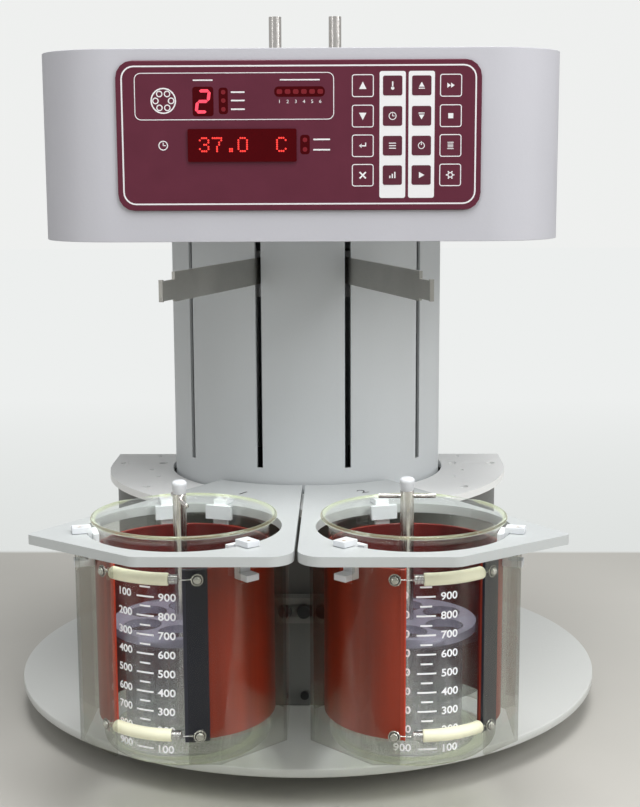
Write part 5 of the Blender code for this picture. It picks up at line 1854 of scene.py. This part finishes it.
@dataclass
class Jacket:
    """The heating jacket with its strip, bolts, springs and sleeves."""

    shop: Workshop
    layout: Layout
    side: Side
    inner: float = 0.0528
    middle: float = 0.0541
    outer: float = 0.0553
    low: float = 0.066
    high: float = 0.171
    wall_steps: int = 140
    wall_soft: float = 0.0003
    lip_half_angle: float = 0.45
    lip_proud: float = 0.0001
    lip_steps: int = 2
    strip_width: float = 15.0
    strip_inner: float = 0.0556
    strip_outer: float = 0.0574
    strip_proud: float = 0.0006
    strip_soft: float = 0.0004
    strip_steps: int = 16
    bolt_angle: float = 31.0
    bolt_heights: Pair = (0.1655, 0.0699)
    bolt_reach: float = 0.0593
    bolt_steps: int = 32
    shank_steps: int = 20
    washer_section: Section = (
        (0.0, 0.0), (0.0035, 0.0), (0.0037, 0.0002), (0.0037, 0.0006), (0.0035, 0.0008), (0.0, 0.0008)
    )
    shank_section: Section = ((0.0, -0.0045), (0.0015, -0.0045), (0.0015, 0.0002), (0.0, 0.0002))
    dome_radius: float = 0.0025
    dome_foot: float = 0.0007
    dome_spring: float = 0.0014
    dome_rise: float = 0.0012
    dome_steps: int = 6
    seal_radii: Pair = (0.0024, 0.0030)
    seal_heights: Pair = (0.00075, 0.00105)
    eye_reach: float = 0.05845
    eye_radius: float = 0.0021
    eye_steps: int = 24
    hook_gap: float = 2.1
    wire_radius: float = 0.00034
    wire_sides: int = 8
    nearly_up: Triple = (0.0012, 0.0007, 1.0)
    coil_radius: float = 0.0026
    coil_turns: int = 9
    coil_start: float = 13.2
    coil_arc: float = 7.2
    coil_steps: int = 18
    lead_in_angles: tuple[float, ...] = (-25.0, -10.0, 12.6)
    first_bend: float = -26.4
    last_bend: float = 21.8
    sleeve_reach: float = 0.0566
    sleeve_radius: float = 0.0038
    sleeve_bore: float = 0.0031
    sleeve_soft: float = 0.0006
    sleeve_start: float = -24.6
    sleeve_end: float = 14.5
    sleeve_sides: int = 32
    mouth_shares: tuple[float, ...] = (0.0, 0.004, 0.016)
    middle_shares: Pair = (0.04, 0.96)
    middle_steps: int = 24
    mouth_ease_shares: Pair = (1.0, 0.35)
    bore_ease_share: float = 0.1
    edges: ClassVar[dict[Side, Pair]] = {Side.LEFT: (-28.5, 22.5), Side.RIGHT: (-25.5, 26.8)}

    def build(self) -> None:
        """Makes the pieces of one jacket."""
        self.wall()
        self.strip()
        self.bolts()
        for name, height in zip(("upper", "lower"), self.bolt_heights):
            self.spring(name, height)
            self.sleeve(name, height)

    def put(self, name: str, shape: Shape, finish: Finish, node: str,
            smooth: float = 35.0, replace: bool = False) -> None:
        """Makes a piece of a shape drawn about the jacket's axis, as Workshop.piece does."""
        self.shop.piece(name, self.layout.on_station(self.side, shape), finish, node, smooth, replace)

    def wall(self) -> None:
        """The silicone wall, its inner face, and the cut edge at its free end."""
        word, node = self.side.word, f"heating_jacket_{self.side.word}"
        start, end = self.edges[self.side]
        around, heights = (end, start + 360.0), (self.low, self.high)
        layers = (
            ("wall", (self.middle, self.outer), SILICONE, True),
            ("liner", (self.inner, self.middle), LINER_SILICONE, False),
        )
        for name, radii, finish, replace in layers:
            shape = curved_plate(radii, around, heights, self.wall_steps, self.wall_soft)
            self.put(f"jacket_{name}_{word}", shape, finish, node, smooth=40.0, replace=replace)
        proud = self.lip_proud
        radii, heights = (self.inner - proud, self.outer + 2 * proud), (self.low - proud, self.high + proud)
        angles = (start - self.lip_half_angle, start + self.lip_half_angle)
        lip = curved_plate(radii, angles, heights, self.lip_steps, self.wall_soft)
        self.put(f"jacket_edge_{word}", lip, CUT_EDGE, node)

    def strip(self) -> None:
        """The dark strip along the jacket's other end."""
        word, end = self.side.word, self.edges[self.side][1]
        radii, angles = (self.strip_inner, self.strip_outer), (end, end + self.strip_width)
        heights = (self.low - self.strip_proud, self.high + self.strip_proud)
        strip = curved_plate(radii, angles, heights, self.strip_steps, self.strip_soft)
        self.put(f"jacket_band_{word}", strip, STRIP_NAVY, f"jacket_strip_{word}", smooth=40.0, replace=True)

    def bolts(self) -> None:
        """Washer, dark seal and domed nut on each bolt, about its own axis."""
        word = self.side.word
        dome = np.vstack([
            (0.0, self.dome_foot),
            (self.dome_radius, self.dome_foot),
            arc((0.0, self.dome_spring), (self.dome_radius, self.dome_rise), 0.0, 90.0, self.dome_steps),
        ])
        parts = [lathe(section, self.bolt_steps) for section in (self.washer_section, dome)]
        head = gather([*parts, lathe(self.shank_section, self.shank_steps)])
        seal = pipe(*self.seal_radii, *self.seal_heights, self.bolt_steps)
        ends = ((f"heating_jacket_{word}", -self.bolt_angle), (f"jacket_strip_{word}", self.bolt_angle))
        for node, angle in ends:
            for name, part, finish in (("bolts", head, BOLT_STEEL), ("seals", seal, BLACK_PLASTIC)):
                both = [standing_out(part, self.bolt_reach, height) for height in self.bolt_heights]
                self.put(f"{node}_{name}", gather(both).spun(angle), finish, node)

    def around(self, radius: Array | float, angle: Array, height: Array | float) -> Array:
        """Points x = r sin t, y = -r cos t, z, with the angle mirrored on the right station.

        Args:
            radius: the distances r from the axis.
            angle: the angles t, in degrees.
            height: the heights z.

        Returns:
            Points, n by three.
        """
        turn = np.radians(-self.side.value * angle)
        return np.stack([radius * np.sin(turn), -radius * np.cos(turn), height + 0 * turn], 1)

    def spring(self, name: str, height: float) -> None:
        """A close-wound coil in the sleeve's mouth with straight wires to both bolts.

        The coil's points are c + q (cos a, sin a) about the arc on which the sleeve lies, while
        the angle along the arc grows evenly.

        Args:
            name: upper or lower.
            height: height of the spring.
        """
        word, hook = self.side.word, self.bolt_angle - self.hook_gap
        eye, axis = self.eye_reach, self.sleeve_reach
        turns = np.linspace(0.0, 1.0, self.coil_turns * self.coil_steps + 1)
        swell = np.clip(np.minimum(turns, 1.0 - turns) * self.coil_turns * 2.0, 0.0, 1.0)
        wind, size = turns * self.coil_turns * 2 * np.pi, self.coil_radius * swell
        path = np.vstack([
            self.around(eye, np.array([-hook, self.first_bend]), height),
            self.around(axis, np.array(self.lead_in_angles), height),
            self.around(axis + size * np.cos(wind), self.coil_start + turns * self.coil_arc,
                        height + size * np.sin(wind)),
            self.around(eye, np.array([self.last_bend, hook]), height),
        ])
        parts = [tube(path, self.wire_radius, self.wire_sides, np.array(self.nearly_up))]
        ring = wire_ring(self.eye_radius, self.wire_radius, self.eye_steps, self.wire_sides)
        for angle in (-self.bolt_angle, self.bolt_angle):
            parts.append(standing_out(ring, eye, height).spun(-self.side.value * angle))
        node = f"spring_{word}_{name}"
        self.put(f"spring_wire_{word}_{name}", gather(parts), BOLT_STEEL, node, smooth=80.0, replace=True)

    def sleeve(self, name: str, height: float) -> None:
        """The ivory sleeve: a section with a bore and soft mouths, carried along the arc.

        Args:
            name: upper or lower.
            height: height of the sleeve.
        """
        word = self.side.word
        mouth, soft = np.array(self.mouth_shares), self.sleeve_soft * np.array(self.mouth_ease_shares)
        middle = np.linspace(*self.middle_shares, self.middle_steps)
        share = np.concatenate([mouth, middle, 1.0 - mouth[::-1]])
        ease = np.concatenate([soft, np.zeros(len(share) - 2 * len(soft)), soft[::-1]])
        angle = self.sleeve_start + (self.sleeve_end - self.sleeve_start) * share
        angles = np.concatenate([angle, angle[::-1]])
        bore = self.sleeve_bore + ease * self.bore_ease_share
        sizes = np.concatenate([self.sleeve_radius - ease, bore[::-1]])
        rings = [
            self.around(self.sleeve_reach + sizes * np.cos(spin), angles, height + sizes * np.sin(spin))
            for spin in full_turn(self.sleeve_sides)
        ]
        shape = grid(np.stack(rings), True, True)
        node = f"sleeve_{word}_{name}"
        self.put(f"sleeve_tube_{word}_{name}", shape, SLEEVE_IVORY, node, smooth=50.0, replace=True)


@dataclass
class StationMount:
    """The station's plate, its number, clips and shield. The right one has no clip at rear outer."""

    shop: Workshop
    layout: Layout
    side: Side
    clip_angles: tuple[tuple[str, float], ...] = (
        ("front_outer", 57.5), ("front_inner", -60.0), ("rear_inner", 180.0), ("rear_outer", 145.0),
    )
    screw_reach: float = 0.0642
    screw_radius: float = 0.0014
    screw_depth: float = 0.0022
    screw_edge: float = 0.0006
    screw_dome: float = 0.0005
    screw_edge_angle: float = 17.19
    screw_steps: int = 20
    dome_steps: int = 4
    number_height: float = 0.0085
    number_width_share: float = 1.1
    number_thickness: float = 0.00012
    number_angle: float = 32.0
    numbers: ClassVar[dict[Side, tuple[str, float, float]]] = {
        Side.LEFT: ("1", -0.0406, -0.092), Side.RIGHT: ("2", 0.0406, -0.0873),
    }

    def clips(self) -> list[tuple[str, float]]:
        """The clips of this station and their angles."""
        left = self.side is Side.LEFT
        return [clip for clip in self.clip_angles if left or clip[0] != "rear_outer"]

    def build(self) -> None:
        """Dresses the pieces of one station's mount."""
        word = self.side.word
        self.shop.skin(f"station_plate_{word}", PLATE_PAINT)
        self.shop.skin(f"shield_{word}", SMOKE, smooth=20.0)
        for place, _ in self.clips():
            self.shop.skin(f"clip_{word}_{place}", NYLON)
        self.screws()
        self.number()

    def screws(self) -> None:
        """Small brass screws in the clips' pads."""
        word, radius = self.side.word, self.screw_radius
        depth, edge = self.screw_depth, self.screw_edge
        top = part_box(f"clip_{word}_rear_inner")[1].z
        dome = arc((0.0, -edge), (radius, self.screw_dome), self.screw_edge_angle, 90.0, self.dome_steps)
        profile = np.vstack([(0.0, -depth), (radius, -depth), (radius, -edge), dome])
        screw = lathe(profile, self.screw_steps).moved(0.0, -self.screw_reach, top)
        for place, angle in self.clips():
            placed = self.layout.on_station(self.side, screw, self.side.value * angle)
            self.shop.piece(f"clip_{word}_{place}_screw", placed, BRASS, f"clip_{word}_{place}")

    def number(self) -> None:
        """The station's number, printed on the plate between hole and column."""
        word = self.side.word
        figure, x, y = self.numbers[self.side]
        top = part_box(f"station_plate_{word}")[1].z
        shape = lettering(figure, self.number_height, self.number_width_share, self.number_thickness)
        placed = shape.spun(self.side.value * self.number_angle).moved(x, y, top)
        self.shop.piece(f"station_number_{word}", placed, BLACK_INK, f"station_plate_{word}")


# The studio


@dataclass(frozen=True)
class Lamp:
    """A soft rectangular lamp that hangs at a place and faces a target, in metres and watts."""

    name: str
    place: Triple
    target: Triple
    size: Pair
    power: float

    def hang(self) -> None:
        """Makes the lamp."""
        data = bpy.data.lights.new(self.name, "AREA")
        data.shape = "RECTANGLE"
        data.size, data.size_y = self.size
        data.energy = self.power
        made = bpy.data.objects.new(self.name, data)
        made.location = self.place
        aim = Vector(self.target) - Vector(self.place)
        made.rotation_euler = aim.to_track_quat("-Z", "Y").to_euler()
        bpy.context.scene.collection.objects.link(made)


@dataclass
class Studio:
    """Camera, floor, lamps and background."""

    lens: float = 80.856
    sensor: float = 36.0
    clip_start: float = 0.05
    place: Triple = (0.0278, -1.0459, 0.4030)
    yaw: float = -0.953
    pitch: float = 9.43
    roll: float = -0.239
    floor_size: float = 6.0
    floor_colour: Colour = srgb(186, 184, 178)
    floor_tone: float = 1.08
    floor_roughness: float = 0.6
    cloud_waves: float = 3.0
    cloud_spread: Pair = (0.3, 0.7)
    bench_edge: float = 0.42
    bench_fade: float = 0.012
    wall_fade: float = 1.0
    # The wall's colour at its foot, darker than higher up: painted shade.
    low_wall_colour: Colour = srgb(222, 225, 223)
    wall_colour: Colour = srgb(237, 239, 238)
    sky_colour: Colour = (0.86, 0.87, 0.86)
    ambient: float = 0.22
    mirrored: float = 0.40
    lamps: ClassVar[tuple[Lamp, ...]] = (
        Lamp("key", (-1.0, -1.2, 1.7), (0.0, 0.0, 0.22), (1.3, 1.3), 8.0),
        Lamp("fill", (1.5, -1.2, 1.5), (0.0, 0.0, 0.22), (1.2, 1.2), 24.0),
        Lamp("top", (0.2, -0.6, 2.4), (0.0, 0.0, 0.22), (1.2, 1.2), 46.0),
        Lamp("strip_right", (1.5, -0.45, 0.3), (0.0, -0.15, 0.2), (0.10, 0.9), 1.6),
        Lamp("strip_left", (-1.2, -1.0, 0.3), (0.0, -0.15, 0.2), (0.10, 0.9), 1.6),
    )

    def build(self) -> None:
        """Makes the whole studio."""
        self.camera()
        self.world()
        self.floor()
        for lamp in self.lamps:
            lamp.hang()

    def camera(self) -> None:
        """The camera at the photograph's place, from its yaw, pitch and roll."""
        yaw, pitch, roll = (math.radians(value) for value in (self.yaw, self.pitch, self.roll))
        level = math.cos(pitch)
        ahead = Vector((math.sin(yaw) * level, math.cos(yaw) * level, -math.sin(pitch)))
        right = Vector((math.cos(yaw), -math.sin(yaw), 0.0))
        up = right.cross(ahead)
        rolled_right = right * math.cos(roll) + up * math.sin(roll)
        rolled_up = up * math.cos(roll) - right * math.sin(roll)
        data = bpy.data.cameras.new("camera")
        data.sensor_fit = "HORIZONTAL"
        data.sensor_width = self.sensor
        data.lens = self.lens
        data.clip_start = self.clip_start
        made = bpy.data.objects.new("camera", data)
        bpy.context.scene.collection.objects.link(made)
        matrix = Matrix((rolled_right, rolled_up, -ahead)).transposed().to_4x4()
        matrix.translation = Vector(self.place)
        made.matrix_world = matrix
        bpy.context.scene.camera = made

    def world(self) -> None:
        """A soft, even sky: full to the camera and through glass, less in mirrors, dim as light."""
        world = bpy.data.worlds.new("studio")
        bpy.context.scene.world = world
        tree = ShaderTree(world)
        mirrored = tree.ray("Is Glossy Ray") * self.mirrored
        through = tree.maths("MAXIMUM", mirrored, tree.ray("Is Transmission Ray"))
        seen = tree.maths("MAXIMUM", tree.ray("Is Camera Ray"), through)
        values = {"Value": seen, "To Min": self.ambient, "To Max": 1.0}
        strength = tree.node("ShaderNodeMapRange", values=values, result="Result")
        values = {"Color": self.sky_colour, "Strength": strength}
        tree.close(tree.node("ShaderNodeBackground", values=values), "ShaderNodeOutputWorld")

    def floor(self) -> None:
        """A plain bench, and beyond its far edge a floor that the camera sees as a pale wall."""
        reach = self.floor_size
        corners = np.array([[[x, y, 0.0] for x in (-reach, reach)] for y in (-reach, reach)])
        shape = grid(corners, False, False)
        mesh = bpy.data.meshes.new("floor")
        mesh.from_pydata(shape.points.tolist(), [], [face[::-1] for face in shape.faces])
        made = bpy.data.objects.new("floor", mesh)
        bpy.context.scene.collection.objects.link(made)
        mesh.materials.append(self.floor_material())

    def floor_material(self) -> bpy.types.Material:
        """The bench's clouded grey, and the wall that only the camera sees, darker towards its foot: painted
        shade.

        Returns:
            The material.
        """
        made = bpy.data.materials.new("floor")
        tree = ShaderTree(made)
        away = tree.ramp(tree.place("Y"), self.bench_edge, self.bench_edge + self.bench_fade)
        clouds = tree.ramp(tree.noise(self.cloud_waves, detail=4.0), *self.cloud_spread)
        lighter = tuple(value * self.floor_tone for value in self.floor_colour)
        colour = tree.blend(clouds, self.floor_colour, lighter)
        colour = tree.blend(away, colour, self.wall_colour)
        bench = tree.principled(Base_Color=colour, Roughness=self.floor_roughness)
        # Painted shade: the wall darkens towards its foot.
        rise = tree.ramp(tree.place("Y"), self.bench_edge, self.bench_edge + self.wall_fade)
        pale = tree.blend(rise, self.low_wall_colour, self.wall_colour)
        wall = tree.node("ShaderNodeEmission", values={"Color": pale, "Strength": 1.0})
        tree.close(tree.either(tree.ray("Is Camera Ray") * away, bench, wall))
        return made


def main() -> None:
    """Builds the looks of the whole tester."""
    logging.basicConfig(level=logging.INFO, format="%(name)s: %(message)s")
    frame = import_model()
    scene = bpy.context.scene
    scene.view_settings.view_transform = "Standard"
    scene.cycles.max_bounces = MAX_BOUNCES
    scene.cycles.transmission_bounces = MAX_BOUNCES
    scene.cycles.transparent_max_bounces = MAX_CLEAR_WALLS
    Studio().build()
    shop = Workshop(frame)
    layout = Layout()
    Foundation(shop, layout).build()
    ControlHead(shop).build()
    for side in Side:
        StationMount(shop, layout, side).build()
        LiftDrive(shop, side).build()
        Beaker(shop, layout, side).build()
        Basket(shop, side).build()
        Jacket(shop, layout, side).build()
    LOG.info("all pieces are made")


if __name__ == "__main__":
    main()
